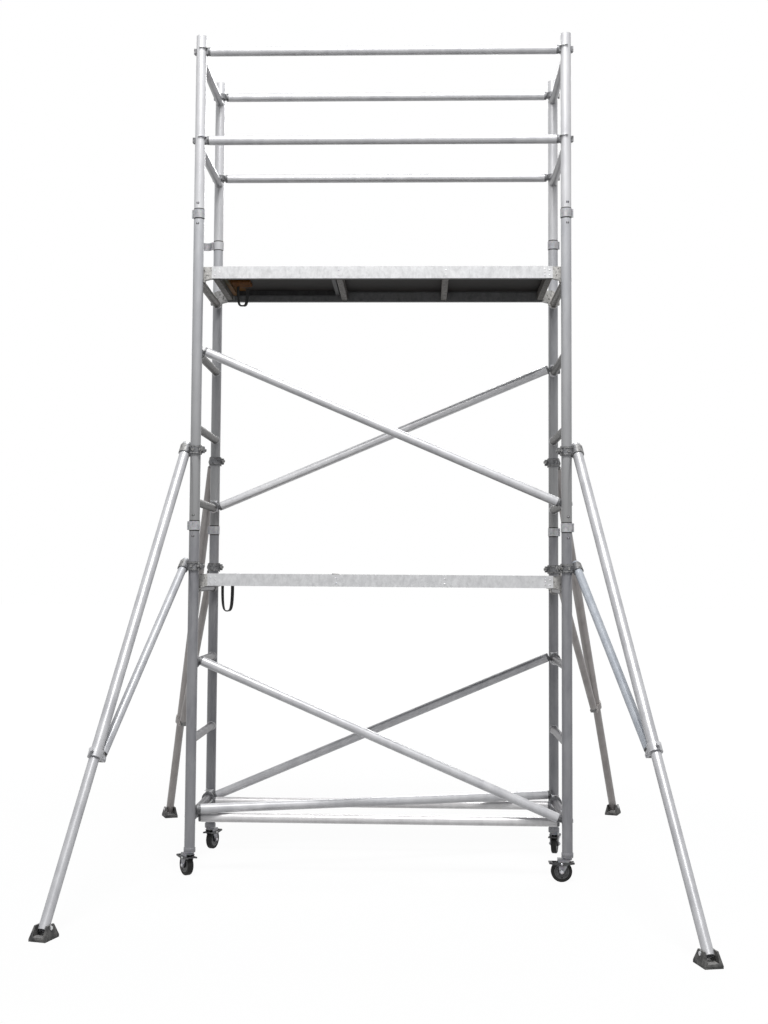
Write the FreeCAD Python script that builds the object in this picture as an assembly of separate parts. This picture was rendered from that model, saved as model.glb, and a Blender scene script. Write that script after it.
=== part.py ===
import FreeCAD, Part
import math
import os

# Narrow mobile access tower: two ladder end frames high, with guardrail frames on top,
# two trapdoor platforms, clip-on braces, castors and four telescopic stabilisers.
# Millimetres. +X runs along the bay, +Y from the front to the rear, +Z up from the ground.
# The origin is on the ground, under the centre of the stabilisers' footprint.

# ---- driving dimensions -------------------------------------------------------------
BAY_LENGTH = 1800.0            # between post axes, along X
FRAME_WIDTH = 650.0            # between post axes, along Y

POST_DIAMETER = 50.8
POST_WALL = 3.0
POST_FOOT_HEIGHT = 120.0       # underside of the lowest posts, above the ground
FRAME_POST_LENGTH = 1535.0     # base frame and upper frame
GUARD_POST_LENGTH = 918.0

RUNG_DIAMETER = 40.0
RUNG_WALL = 2.0
RUNG_PITCH = 365.0
BASE_FIRST_RUNG = 160.0        # above the frame's own foot
UPPER_FIRST_RUNG = 138.0
RUNGS_PER_FRAME = 4
GUARD_BAR_HEIGHTS = (356.0, 805.0)

SPIGOT_LENGTH = 240.0
SPIGOT_WALL = 4.0
SPIGOT_CLEARANCE = 0.2

CLIP_HEIGHT = 42.0
CLIP_WALL = 2.5
CLIP_CLEARANCE = 0.3
CLIP_BARREL_RADIUS = 4.0
CLIP_PIN_RADIUS = 1.5
CLIP_PIN_CLEARANCE = 0.1
CLIP_OPEN_ANGLE = 165.0

BRACE_DIAMETER = 45.0
BRACE_WALL = 2.0
CLAW_WIDTH = 30.0
POST_CLAW_WIDTH = 26.0
CLAW_WALL = 11.0
CLAW_LEG = 9.0                 # how far the jaw's legs reach past the axis that they grip
CLAW_FIT = 0.25
CLAW_SOCKET = 70.0             # depth of the plug inside the brace tube
CLAW_NECK = 10.0               # jaw to the end of the brace tube
CLAW_OVERLAP = 2.0             # how far the neck is sunk in the jaw
CLAW_POST_GAP = 4.0
CLAW_PITCH = 42.0              # between claws that share a rung
GUARDRAIL_GAP = 2.0            # between a guardrail's claw and the bar below it
DIAGONAL_RISE = 10.0           # end of a brace tube above the axis of its rung
BASE_RAIL_RISE = -16.0
PLAN_BRACE_RISE = 32.0
LATCH_THICKNESS = 4.0
LATCH_CLEARANCE = 1.5
LATCH_DEPTH = 6.0
LATCH_FIRST = -105.0           # angles of the finger around the rung, from the brace
LATCH_LAST = -10.0
CLAW_SHOULDER = 1.5            # the casting is this much slimmer than the tube, on the radius
CLAW_WEB = 20.0
CLAW_WEB_REACH = 9.0           # how far a raised neck runs back over the jaw

BEAM_DEPTH = 60.0
BEAM_WIDTH = 30.0
BEAM_WALL = 2.5
BEAM_END_INSET = 62.0          # post axis to the end of a beam
BEAM_RUNG_RISE = 10.0          # underside of the beams above the rung's axis
PLATFORM_POST_GAP = 4.6        # between a side beam and the posts beside it
LEDGE_WIDTH = 15.0
LEDGE_THICKNESS = 3.0
PLY_THICKNESS = 12.0
PLY_CLEARANCE = 0.5
MEMBER_WIDTH = 30.0
MEMBER_DEPTH = 40.0
MEMBER_WALL = 2.5
HATCH_HINGE_X = -230.0
MIDDLE_MEMBER_X = 315.0
END_BOARD_WIDTH = 33.0         # the fixed strip past the hatch's free edge
HATCH_SIDE_GAP = 7.0           # between the hatch and each beam
HATCH_GAP = 5.0
HATCH_RIM_DEPTH = 24.0
HATCH_RIM_WIDTH = 20.0
HINGE_RADIUS = 4.0
HINGE_PIN_RADIUS = 2.0
HINGE_PIN_CLEARANCE = 0.1
HINGE_LEAF_WIDTH = 28.0
HINGE_LEAF_THICKNESS = 2.0
HINGE_LEAF_GAP = 0.3           # around a leaf in its rebate
HINGE_KNUCKLES = 5
HOOK_WIDTH = 28.0
HOOK_WALL = 9.0
HOOK_LEG = 8.0
CATCH_LENGTH = 100.0
CATCH_WIDTH = 120.0
CATCH_DEPTH = 16.0
STRAP_WIDTH = 25.0
STRAP_THICKNESS = 2.5
STRAP_SPAN = 56.0              # between the two legs of the loop
STRAP_DROP = {"lower": 150.0, "upper": 104.0}
STRAP_INSET = {"lower": 53.0, "upper": 72.0}     # from the hatch's free edge
STRAP_OFFSET = {"lower": -236.0, "upper": 45.0}  # from the platform's centre line

WHEEL_DIAMETER = 100.0
TYRE_WIDTH = 28.0
TYRE_THICKNESS = 12.0
TYRE_ROUND = 6.0
HUB_WEB = 10.0
HUB_BOSS_RADIUS = 12.0
HUB_BOSS_WIDTH = 34.0
AXLE_RADIUS = 5.0
AXLE_NUT_RADIUS = 8.0
AXLE_CLEARANCE = 0.08
CASTOR_TRAIL = 28.0
FORK_PLATE = 4.0
FORK_GAP = 36.0                # between the two arms
CROWN_THICKNESS = 5.0
CROWN_RUNNING_GAP = 0.3
COLLAR_THICKNESS = 6.0
COLLAR_RADIUS = 28.0
BEARING_THICKNESS = 5.0
BEARING_RADIUS = 20.0
KINGPIN_RADIUS = 6.0
KINGPIN_CLEARANCE = 0.08
KINGPIN_HEAD_RADIUS = 8.0
KINGPIN_HEAD = 5.0
STEM_LENGTH = 100.0
BRAKE_PLATE = 2.5
BRAKE_SIDE_GAP = 0.6
BRAKE_PIVOT_HEIGHT = 86.0
BRAKE_PIVOT_RADIUS = 4.0
BRAKE_PIVOT_CLEARANCE = 0.1
BRAKE_REACH = 60.0
PEDAL_LENGTH = 16.0
PEDAL_THICKNESS = 5.0

ARM_DIAMETER = 50.0
ARM_WALL = 2.8
ARM_LENGTH = 1625.0            # upper pivot to the mouth of the outer tube
ARM_OVERHANG = 34.0
ARM_PIVOT_HEIGHT = 2045.0
STRUT_PIVOT_HEIGHT = 1480.0
STRUT_DIAMETER = 40.0
STRUT_WALL = 2.0
LEG_CLEARANCE = 0.1            # running fit of the leg in the outer tube, on the radius
LEG_WALL = 2.2
LEG_OVERLAP = 430.0
LEG_TOE = 12.0
COUPLER_WALL = 5.6
COUPLER_HEIGHT = 44.0
COUPLER_FIT = 0.06             # running fit on the post, on the radius
COUPLER_GAP = 2.6              # between the post and the arm beside it
COUPLER_BOLT_RADIUS = 6.0
COUPLER_BOLT_OFFSET = 6.0      # outside of the ring to the bolt's axis
COUPLER_BOLT_REACH = 23.0      # each way from the eye's middle
COUPLER_NUT_RADIUS = 9.6
COUPLER_NUT_LENGTH = 10.0
COUPLER_EYE_WIDTH = 19.0
COUPLER_EYE_HEIGHT = 32.0
COUPLER_EYE_REACH = 14.0
COUPLER_BOSS_RADIUS = 14.0
FORK_EAR = 6.0
FORK_PIN_RADIUS = 8.0
TONGUE_WIDTH = 26.0
TONGUE_CLEARANCE = 0.3
TONGUE_RADIUS = 17.0
KNUCKLE_RADIUS = 13.6
TONGUE_REACH = 30.0
ARM_COLLAR_HEIGHT = 38.0
ARM_COLLAR_WALL = 6.0
KNUCKLE_OFFSET = 52.0
KNUCKLE_PIN_RADIUS = 6.0
FOOT_LENGTH = 106.0
FOOT_BREADTH = 74.0
FOOT_TOP_LENGTH = 52.0
FOOT_TOP_BREADTH = 58.0
FOOT_HEIGHT = 57.0
FOOT_SOLE = 10.0
FOOT_FLOOR = 17.0
FOOT_PIVOT_HEIGHT = 45.0
FOOT_PIN_RADIUS = 6.0
FOOT_SIDE_GAP = 0.5
CAP_THICKNESS = 3.0
KNOB_STEM = 12.0
KNOB_RADIUS = 9.0

# Each stabiliser: corner signs, swing away from square, horizontal reach of the foot's
# pivot, and how it is coupled: beside the post (left -1, right +1) or behind it (0).
STABILISERS = {
    "front_left": (-1, -1, 15.5, 1225.0, -1),
    "front_right": (1, -1, 13.0, 1425.0, 1),
    "rear_left": (-1, 1, 22.0, 1035.0, 0),
    "rear_right": (1, 1, 21.0, 1345.0, 0),
}
# The direction in which each castor trails, in degrees from +X.
CASTOR_HEADINGS = {"front_left": 127.0, "front_right": 180.0, "rear_left": 70.0, "rear_right": 76.0}

# ---- derived ------------------------------------------------------------------------
HALF_BAY = BAY_LENGTH / 2
HALF_WIDTH = FRAME_WIDTH / 2
POST_RADIUS = POST_DIAMETER / 2
POST_BORE = POST_RADIUS - POST_WALL
RUNG_RADIUS = RUNG_DIAMETER / 2
BRACE_RADIUS = BRACE_DIAMETER / 2
ARM_RADIUS = ARM_DIAMETER / 2
STRUT_RADIUS = STRUT_DIAMETER / 2
LEG_RADIUS = ARM_RADIUS - ARM_WALL - LEG_CLEARANCE
LOWER_JOINT = POST_FOOT_HEIGHT + FRAME_POST_LENGTH
UPPER_JOINT = LOWER_JOINT + FRAME_POST_LENGTH
BASE_RUNGS = [POST_FOOT_HEIGHT + BASE_FIRST_RUNG + i * RUNG_PITCH for i in range(RUNGS_PER_FRAME)]
UPPER_RUNGS = [LOWER_JOINT + UPPER_FIRST_RUNG + i * RUNG_PITCH for i in range(RUNGS_PER_FRAME)]
GUARD_BARS = [UPPER_JOINT + height for height in GUARD_BAR_HEIGHTS]
GUARDRAILS = [bar + RUNG_RADIUS + GUARDRAIL_GAP + POST_CLAW_WIDTH / 2 for bar in GUARD_BARS]
FIRST_SLOT = HALF_WIDTH - POST_RADIUS - CLAW_POST_GAP - CLAW_WIDTH / 2
SECOND_SLOT = FIRST_SLOT - CLAW_PITCH
BEAM_LENGTH = BAY_LENGTH - 2 * BEAM_END_INSET
PLATFORM_WIDTH = FRAME_WIDTH - POST_DIAMETER - 2 * PLATFORM_POST_GAP
HATCH_WIDTH = PLATFORM_WIDTH - 2 * (BEAM_WIDTH + HATCH_SIDE_GAP)
STRAP_ROOT = {"lower": HATCH_RIM_DEPTH, "upper": CATCH_DEPTH}
COUPLER_OFFSET = POST_RADIUS + COUPLER_GAP + ARM_RADIUS
PLATFORM_RUNGS = {"lower": BASE_RUNGS[-1], "upper": UPPER_RUNGS[-1]}
UP = FreeCAD.Vector(0, 0, 1)
ALONG = FreeCAD.Vector(1, 0, 0)
ACROSS = FreeCAD.Vector(0, 1, 0)
BIG = 4 * POST_RADIUS


# ---- helpers ------------------------------------------------------------------------
def vec(x, y, z):
    return FreeCAD.Vector(x, y, z)


def unit(vector):
    return vector * (1.0 / vector.Length)


def rod(start, end, radius):
    axis = end - start
    return Part.makeCylinder(radius, axis.Length, start, axis)


def tube(start, end, outer, inner):
    return rod(start, end, outer).cut(rod(start, end, inner))


def block(x0, x1, y0, y1, z0, z1):
    """A box between pairs of limits, given in either order."""
    corner = vec(min(x0, x1), min(y0, y1), min(z0, z1))
    return Part.makeBox(abs(x1 - x0), abs(y1 - y0), abs(z1 - z0), corner)


def cross_rod(x, y, z, width, radius):
    """A round bar along Y, centred on the given point."""
    return rod(vec(x, y - width / 2, z), vec(x, y + width / 2, z), radius)


def prism(points, depth):
    """Extrude a closed outline of (x, z) points along Y, centred on y = 0."""
    corners = [vec(x, -depth / 2, z) for x, z in points]
    face = Part.Face(Part.makePolygon(corners + corners[:1]))
    return face.extrude(vec(0, depth, 0))


def strap_plate(x0, z0, r0, x1, z1, r1, depth):
    """A plate centred on y = 0 with two round ends joined by their outer tangents."""
    span = math.hypot(x1 - x0, z1 - z0)
    heading = math.atan2(z1 - z0, x1 - x0)
    spread = math.acos((r0 - r1) / span)
    sides = (heading + spread, heading - spread)
    starts = [(x0 + r0 * math.cos(a), z0 + r0 * math.sin(a)) for a in sides]
    ends = [(x1 + r1 * math.cos(a), z1 + r1 * math.sin(a)) for a in sides]
    web = prism([starts[0], starts[1], ends[1], ends[0]], depth)
    discs = [cross_rod(x0, 0, z0, depth, r0), cross_rod(x1, 0, z1, depth, r1)]
    return web.fuse(discs)


def sector(inner, outer, first, last, width):
    """A flat curved bar around the Y axis, between two angles in the XZ plane."""
    ring = tube(vec(0, -width / 2, 0), vec(0, width / 2, 0), outer, inner)
    reach = 2 * outer
    points = [(0, 0)]
    for angle in (first, (first + last) / 2, last):
        points.append((reach * math.cos(math.radians(angle)), reach * math.sin(math.radians(angle))))
    return ring.common(prism(points, 2 * width))


def box_tube(x0, x1, y0, y1, z0, z1, wall):
    """A rectangular tube that runs along Y."""
    inside = block(x0 + wall, x1 - wall, y0, y1, z0 + wall, z1 - wall)
    return block(x0, x1, y0, y1, z0, z1).cut(inside)


def framed(shape, origin, x_axis, z_axis):
    """Carry a shape from its own frame to the one with the given X and Z directions."""
    x = unit(x_axis)
    z = unit(z_axis)
    y = z.cross(x)
    matrix = FreeCAD.Matrix(x.x, y.x, z.x, origin.x, x.y, y.y, z.y, origin.y,
                            x.z, y.z, z.z, origin.z, 0, 0, 0, 1)
    copy = shape.copy()
    copy.Placement = FreeCAD.Placement(matrix) * shape.Placement
    return copy


# ---- end frames ---------------------------------------------------------------------
def rung(x, z):
    """A tube between the two posts of an end frame, coped to fit them."""
    bar = tube(vec(x, -HALF_WIDTH, z), vec(x, HALF_WIDTH, z), RUNG_RADIUS, RUNG_RADIUS - RUNG_WALL)
    copes = []
    for side in (-1, 1):
        low = vec(x, side * HALF_WIDTH, z - RUNG_DIAMETER)
        copes.append(rod(low, low + UP * (2 * RUNG_DIAMETER), POST_RADIUS))
    return bar.cut(copes)


def end_frame(side, foot, length, rungs):
    x = side * HALF_BAY
    pieces = []
    for rear in (-1, 1):
        low = vec(x, rear * HALF_WIDTH, foot)
        pieces.append(tube(low, low + UP * length, POST_RADIUS, POST_BORE))
    for height in rungs:
        pieces.append(rung(x, height))
    return pieces


def corners():
    return [(sx, sy) for sx in (-1, 1) for sy in (-1, 1)]


def spigots():
    """The sleeves that join one end frame to the next, half in each post."""
    outer = POST_BORE - SPIGOT_CLEARANCE
    pieces = []
    for joint in (LOWER_JOINT, UPPER_JOINT):
        for sx, sy in corners():
            low = vec(sx * HALF_BAY, sy * HALF_WIDTH, joint - SPIGOT_LENGTH / 2)
            pieces.append(tube(low, low + UP * SPIGOT_LENGTH, outer, outer - SPIGOT_WALL))
    return pieces


def clip_hinge_offset():
    return POST_RADIUS + CLIP_CLEARANCE + CLIP_WALL + CLIP_BARREL_RADIUS - CLIP_PIN_RADIUS / 2


def clip_half(sx, front):
    """Half of the hinged band that locks a post joint, around the Z axis."""
    inner = POST_RADIUS + CLIP_CLEARANCE
    outer = inner + CLIP_WALL
    band = tube(vec(0, 0, 0), UP * CLIP_HEIGHT, outer, inner)
    edge = CLIP_CLEARANCE if front < 0 else 0.0
    half = band.common(block(-BIG, BIG, front * edge, front * BIG, 0, CLIP_HEIGHT))
    hinge = vec(sx * clip_hinge_offset(), 0, 0)
    third = CLIP_HEIGHT / 3
    middle = rod(hinge + UP * third, hinge + UP * (2 * third), CLIP_BARREL_RADIUS)
    ends = [rod(hinge, hinge + UP * third, CLIP_BARREL_RADIUS)]
    ends.append(rod(hinge + UP * (2 * third), hinge + UP * CLIP_HEIGHT, CLIP_BARREL_RADIUS))
    gap = CLIP_BARREL_RADIUS + CLIP_CLEARANCE
    low = third - CLIP_CLEARANCE
    high = 2 * third + CLIP_CLEARANCE
    if front < 0:
        room = [rod(hinge - UP, hinge + UP * (third + CLIP_CLEARANCE), gap)]
        room.append(rod(hinge + UP * (2 * third - CLIP_CLEARANCE), hinge + UP * (CLIP_HEIGHT + 1), gap))
        pin_hole = rod(hinge - UP, hinge + UP * (CLIP_HEIGHT + 1), CLIP_PIN_RADIUS + CLIP_PIN_CLEARANCE)
        return half.fuse(middle).cut(room + [pin_hole])
    room = rod(hinge + UP * low, hinge + UP * high, gap)
    pin = rod(hinge, hinge + UP * CLIP_HEIGHT, CLIP_PIN_RADIUS)
    return half.fuse(ends).cut(room).fuse(pin)


def interlocks():
    """The joint clips, and the front half of the one that is left open."""
    fixed = []
    leaf = []
    for joint in (LOWER_JOINT, UPPER_JOINT):
        for sx, sy in corners():
            place = vec(sx * HALF_BAY, sy * HALF_WIDTH, joint)
            back = clip_half(sx, 1)
            front = clip_half(sx, -1)
            is_open = (joint, sx, sy) == (UPPER_JOINT, -1, 1)
            if is_open:
                front.rotate(vec(sx * clip_hinge_offset(), 0, 0), UP, sx * CLIP_OPEN_ANGLE)
            back.translate(place)
            front.translate(place)
            fixed.append(back)
            (leaf if is_open else fixed).append(front)
    return fixed, leaf


# ---- braces and rails ---------------------------------------------------------------
def jaw_room(grip, width):
    """What a jaw leaves free: the bar that it grips, and its way in."""
    inner = grip + CLAW_FIT
    return cross_rod(0, 0, 0, 2 * width, inner).fuse(block(-inner, inner, -width, width, -BIG, 0))


def jaw(outer, leg, width):
    """An inverted U around the Y axis: a half round saddle with two straight legs."""
    legs = block(-outer, outer, -width / 2, width / 2, -leg, 0)
    saddle = cross_rod(0, 0, 0, width, outer)
    return saddle.cut(block(-outer, outer, -width, width, -outer, 0)).fuse(legs)


def latch(centre, heading, lift, side, grip, width):
    """The sprung finger that closes a jaw, on one side of it."""
    inner = grip + LATCH_CLEARANCE
    finger = sector(inner, inner + LATCH_DEPTH, LATCH_FIRST, LATCH_LAST, LATCH_THICKNESS)
    placed = framed(finger, centre, heading, lift)
    placed.translate(side * ((width + LATCH_THICKNESS) / 2))
    return placed


def jaw_reach(grip):
    return grip + CLAW_FIT + CLAW_WALL


def claw(centre, heading, lift, stem, rise, grip, width):
    """A cast hook around a bar of the given radius, with the plug that carries the tube."""
    outer = jaw_reach(grip)
    webbed = rise > grip
    back = CLAW_WEB_REACH if webbed else CLAW_OVERLAP
    socket = centre + heading * (outer + CLAW_NECK) + lift * rise
    shapes = [rod(socket - stem * (CLAW_NECK + back), socket, BRACE_RADIUS - CLAW_SHOULDER)]
    shapes.append(rod(socket, socket + stem * CLAW_SOCKET, BRACE_RADIUS - BRACE_WALL - CLAW_FIT))
    if webbed:
        web = block(outer - back, outer, -CLAW_WEB / 2, CLAW_WEB / 2, 0, rise)
        shapes.append(framed(web, centre, heading, lift))
    body = framed(jaw(outer, CLAW_LEG, width), centre, heading, lift)
    return body.fuse(shapes).cut(framed(jaw_room(grip, width), centre, heading, lift))


def brace(start, end, rise, on_posts):
    """A tube across the bay with a claw and a latch at each end, hooked on rungs or posts."""
    grip = POST_RADIUS if on_posts else RUNG_RADIUS
    width = POST_CLAW_WIDTH if on_posts else CLAW_WIDTH
    neck = jaw_reach(grip) + CLAW_NECK
    tips = []
    for centre, heading in ((start, ALONG), (end, -ALONG)):
        inward = ACROSS if centre.y < 0 else -ACROSS
        lift = inward if on_posts else UP
        side = UP if on_posts else inward
        height = 0.0 if on_posts else rise
        tips.append((centre, heading, lift, side, height, centre + heading * neck + lift * height))
    along = unit(tips[1][-1] - tips[0][-1])
    bar = tube(tips[0][-1], tips[1][-1], BRACE_RADIUS, BRACE_RADIUS - BRACE_WALL)
    claws = []
    latches = []
    for (centre, heading, lift, side, height, tip), stem in zip(tips, (along, -along)):
        claws.append(claw(centre, heading, lift, stem, height, grip, width))
        latches.append(latch(centre, heading, lift, side, grip, width))
    return bar, claws, latches


def braces():
    """Every clip-on tube, by node, with all claws and all latches."""
    rail_low, rail_high = GUARDRAILS
    base = BASE_RUNGS[0]
    lower = (BASE_RUNGS[2], BASE_RUNGS[0])
    upper = (UPPER_RUNGS[2], UPPER_RUNGS[0])
    outer = FIRST_SLOT
    inner = SECOND_SLOT
    plan = [
        ("guardrails_front", -HALF_WIDTH, rail_high, -HALF_WIDTH, rail_high, 0.0, True),
        ("guardrails_front", -HALF_WIDTH, rail_low, -HALF_WIDTH, rail_low, 0.0, True),
        ("guardrails_rear", HALF_WIDTH, rail_high, HALF_WIDTH, rail_high, 0.0, True),
        ("guardrails_rear", HALF_WIDTH, rail_low, HALF_WIDTH, rail_low, 0.0, True),
        ("diagonal_upper_front", -outer, upper[0], -outer, upper[1], DIAGONAL_RISE, False),
        ("diagonal_upper_rear", outer, upper[1], outer, upper[0], DIAGONAL_RISE, False),
        ("diagonal_lower_front", -outer, lower[0], -outer, lower[1], DIAGONAL_RISE, False),
        ("diagonal_lower_rear", outer, lower[1], outer, lower[0], DIAGONAL_RISE, False),
        ("base_rails", -inner, base, -inner, base, BASE_RAIL_RISE, False),
        ("base_rails", inner, base, inner, base, BASE_RAIL_RISE, False),
        ("plan_brace", -outer, base, outer, base, PLAN_BRACE_RISE, False),
    ]
    nodes = {}
    claws = []
    latches = []
    for name, y0, z0, y1, z1, rise, on_posts in plan:
        start = vec(-HALF_BAY, y0, z0)
        end = vec(HALF_BAY, y1, z1)
        bar, own_claws, own_latches = brace(start, end, rise, on_posts)
        nodes.setdefault(name, []).append(bar)
        claws += own_claws
        latches += own_latches
    nodes["brace_claws"] = claws
    nodes["claw_latches"] = latches
    return nodes


# ---- platforms ----------------------------------------------------------------------
def side_beam(side, low):
    """An extruded side beam with the ledge that carries the boards."""
    half = BEAM_LENGTH / 2
    outer = side * PLATFORM_WIDTH / 2
    inner = outer - side * BEAM_WIDTH
    high = low + BEAM_DEPTH
    hollow = block(-half, half, outer - side * BEAM_WALL, inner + side * BEAM_WALL,
                   low + BEAM_WALL, high - BEAM_WALL)
    ledge_top = high - PLY_THICKNESS
    ledge = block(-half, half, inner, inner - side * LEDGE_WIDTH, ledge_top - LEDGE_THICKNESS, ledge_top)
    return block(-half, half, outer, inner, low, high).cut(hollow).fuse(ledge)


def inner_half_width():
    return PLATFORM_WIDTH / 2 - BEAM_WIDTH


def hatch_limits():
    """X of the hatch's free edge and of its edge beside the hinge."""
    return END_BOARD_WIDTH + HATCH_GAP - BEAM_LENGTH / 2, HATCH_HINGE_X - HATCH_GAP


def hinge_leaf(top, side):
    """One leaf of the trapdoor's hinge with its knuckles: +1 on the deck, -1 on the hatch."""
    half = HATCH_WIDTH / 2 - HATCH_GAP
    pitch = 2 * half / HINGE_KNUCKLES
    root = HINGE_RADIUS + CLAW_FIT
    plate = block(side * root, side * HINGE_LEAF_WIDTH, -half, half, -HINGE_LEAF_THICKNESS, 0)
    shapes = []
    for index in range(HINGE_KNUCKLES):
        on_deck = index % 2 == 0
        if on_deck == (side > 0):
            low = -half + index * pitch + CLAW_FIT
            high = low + pitch - 2 * CLAW_FIT
            shapes.append(rod(vec(0, low, 0), vec(0, high, 0), HINGE_RADIUS))
            shapes.append(block(0, side * root, low, high, -HINGE_LEAF_THICKNESS, 0))
    leaf = plate.fuse(shapes)
    pin = HINGE_PIN_RADIUS if side > 0 else HINGE_PIN_RADIUS + HINGE_PIN_CLEARANCE
    core = rod(vec(0, -half, 0), vec(0, half, 0), pin)
    leaf = leaf.fuse(core) if side > 0 else leaf.cut(core)
    leaf.translate(vec(HATCH_HINGE_X, 0, top))
    return leaf


def platform_frame(low):
    inner = inner_half_width()
    half = BEAM_LENGTH / 2
    member_top = low + BEAM_DEPTH - PLY_THICKNESS - LEDGE_THICKNESS
    starts = (-half, HATCH_HINGE_X + HATCH_GAP, MIDDLE_MEMBER_X - MEMBER_WIDTH / 2, half - MEMBER_WIDTH)
    pieces = [side_beam(-1, low), side_beam(1, low)]
    for x in starts:
        pieces.append(box_tube(x, x + MEMBER_WIDTH, -inner, inner,
                               member_top - MEMBER_DEPTH, member_top, MEMBER_WALL))
    pieces.append(hinge_leaf(low + BEAM_DEPTH, 1))
    return pieces


def leaf_rebate(top, side):
    """What a hinge leaf needs cut from the plywood to lie flush."""
    edge = HATCH_HINGE_X + side * (HINGE_LEAF_WIDTH + HINGE_LEAF_GAP)
    half = HATCH_WIDTH / 2
    return block(HATCH_HINGE_X, edge, -half, half, top - HINGE_LEAF_THICKNESS, top)


def platform_boards(low):
    """The fixed plywood: the main board, and the strip beside the hatch's free edge."""
    inner = inner_half_width() - PLY_CLEARANCE
    half = BEAM_LENGTH / 2
    top = low + BEAM_DEPTH
    free_edge = hatch_limits()[0]
    main = block(HATCH_HINGE_X + HATCH_GAP, half, -inner, inner, top - PLY_THICKNESS, top)
    strip = block(-half, free_edge - HATCH_GAP, -inner, inner, top - PLY_THICKNESS, top)
    return [main.cut(leaf_rebate(top, 1)), strip]


def hatch(low):
    """The trapdoor: a board on a rim of four bars, with its hinge leaf."""
    x0, x1 = hatch_limits()
    top = low + BEAM_DEPTH
    under = top - PLY_THICKNESS
    half = HATCH_WIDTH / 2
    rim = inner_half_width() - LEDGE_WIDTH - PLY_CLEARANCE - LEDGE_THICKNESS / 2
    bar = HATCH_RIM_WIDTH
    foot = under - HATCH_RIM_DEPTH
    pieces = [block(x0, x1, -half, half, under, top).cut(leaf_rebate(top, -1))]
    for side in (-1, 1):
        pieces.append(block(x0, x1, side * rim, side * (rim - bar), foot, under))
    for edge in (x0, x1 - bar):
        pieces.append(block(edge, edge + bar, bar - rim, rim - bar, foot, under))
    pieces.append(hinge_leaf(top, -1))
    return pieces


def catch(low):
    """The moulded pull under the hatch's free end."""
    under = low + BEAM_DEPTH - PLY_THICKNESS
    x0 = hatch_limits()[0] + HATCH_RIM_WIDTH
    body = block(x0, x0 + CATCH_LENGTH, -CATCH_WIDTH / 2, CATCH_WIDTH / 2, under - CATCH_DEPTH, under)
    edges = [e for e in body.Edges if abs(e.CenterOfMass.z - (under - CATCH_DEPTH)) < 1e-6]
    return body.makeChamfer(CATCH_DEPTH / 3, edges)


def strap(level, low):
    """The webbing loop that hangs below the trapdoor's rim, or below its pull."""
    top = low + BEAM_DEPTH - PLY_THICKNESS - STRAP_ROOT[level]
    x = hatch_limits()[0] + STRAP_INSET[level]
    y = STRAP_OFFSET[level]
    outer = (STRAP_SPAN + STRAP_THICKNESS) / 2
    inner = (STRAP_SPAN - STRAP_THICKNESS) / 2
    bend = top - STRAP_DROP[level] + outer
    shapes = []
    for radius in (outer, inner):
        legs = block(x - radius, x + radius, y - STRAP_WIDTH / 2, y + STRAP_WIDTH / 2, bend, top)
        shapes.append(legs.fuse(cross_rod(x, y, bend, STRAP_WIDTH, radius)))
    return shapes[0].cut(shapes[1])


def platform_hooks(rung_z):
    """The four cast hooks that hang the beams on the rungs, with their wind locks."""
    reach = HALF_BAY - BEAM_LENGTH / 2
    outer = RUNG_RADIUS + CLAW_FIT + HOOK_WALL
    room = jaw_room(RUNG_RADIUS, HOOK_WIDTH)
    foot = BEAM_RUNG_RISE
    head = foot + BEAM_DEPTH - BEAM_WALL
    outline = [(-outer, 0), (-outer, foot), (-outer / 3, head - outer / 3), (outer / 3, head),
               (reach, head), (reach, foot), (outer, foot - HOOK_LEG), (outer, 0)]
    pieces = []
    for sx, sy in corners():
        heading = vec(-sx, 0, 0)
        y = sy * (PLATFORM_WIDTH - BEAM_WIDTH) / 2
        centre = vec(sx * HALF_BAY, y, rung_z)
        body = prism(outline, HOOK_WIDTH).fuse(jaw(outer, HOOK_LEG, HOOK_WIDTH)).cut(room)
        pieces.append(framed(body, centre, heading, UP))
        lock_inner = RUNG_RADIUS + LATCH_CLEARANCE
        lock = sector(lock_inner, lock_inner + LATCH_DEPTH, LATCH_FIRST, LATCH_LAST, LATCH_THICKNESS)
        lock = framed(lock, centre, heading, UP)
        lock.translate(ACROSS * (-sy * (HOOK_WIDTH + LATCH_THICKNESS) / 2))
        pieces.append(lock)
    return pieces


# ---- castors ------------------------------------------------------------------------
def crown_top():
    return POST_FOOT_HEIGHT - COLLAR_THICKNESS - BEARING_THICKNESS - CROWN_RUNNING_GAP


def castor_stem():
    """The stem in the post, its collar, the bearing and the kingpin, around the Z axis."""
    foot = POST_FOOT_HEIGHT
    crown_foot = crown_top() - CROWN_THICKNESS
    head_top = crown_foot - CROWN_RUNNING_GAP
    stem = rod(vec(0, 0, foot), vec(0, 0, foot + STEM_LENGTH), POST_BORE - SPIGOT_CLEARANCE)
    collar = rod(vec(0, 0, foot - COLLAR_THICKNESS), vec(0, 0, foot), COLLAR_RADIUS)
    bearing = rod(vec(0, 0, crown_top() + CROWN_RUNNING_GAP), vec(0, 0, foot - COLLAR_THICKNESS), BEARING_RADIUS)
    pin = rod(vec(0, 0, head_top - KINGPIN_HEAD), vec(0, 0, foot), KINGPIN_RADIUS)
    head = rod(vec(0, 0, head_top - KINGPIN_HEAD), vec(0, 0, head_top), KINGPIN_HEAD_RADIUS)
    return stem.fuse([collar, bearing, pin, head])


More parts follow.
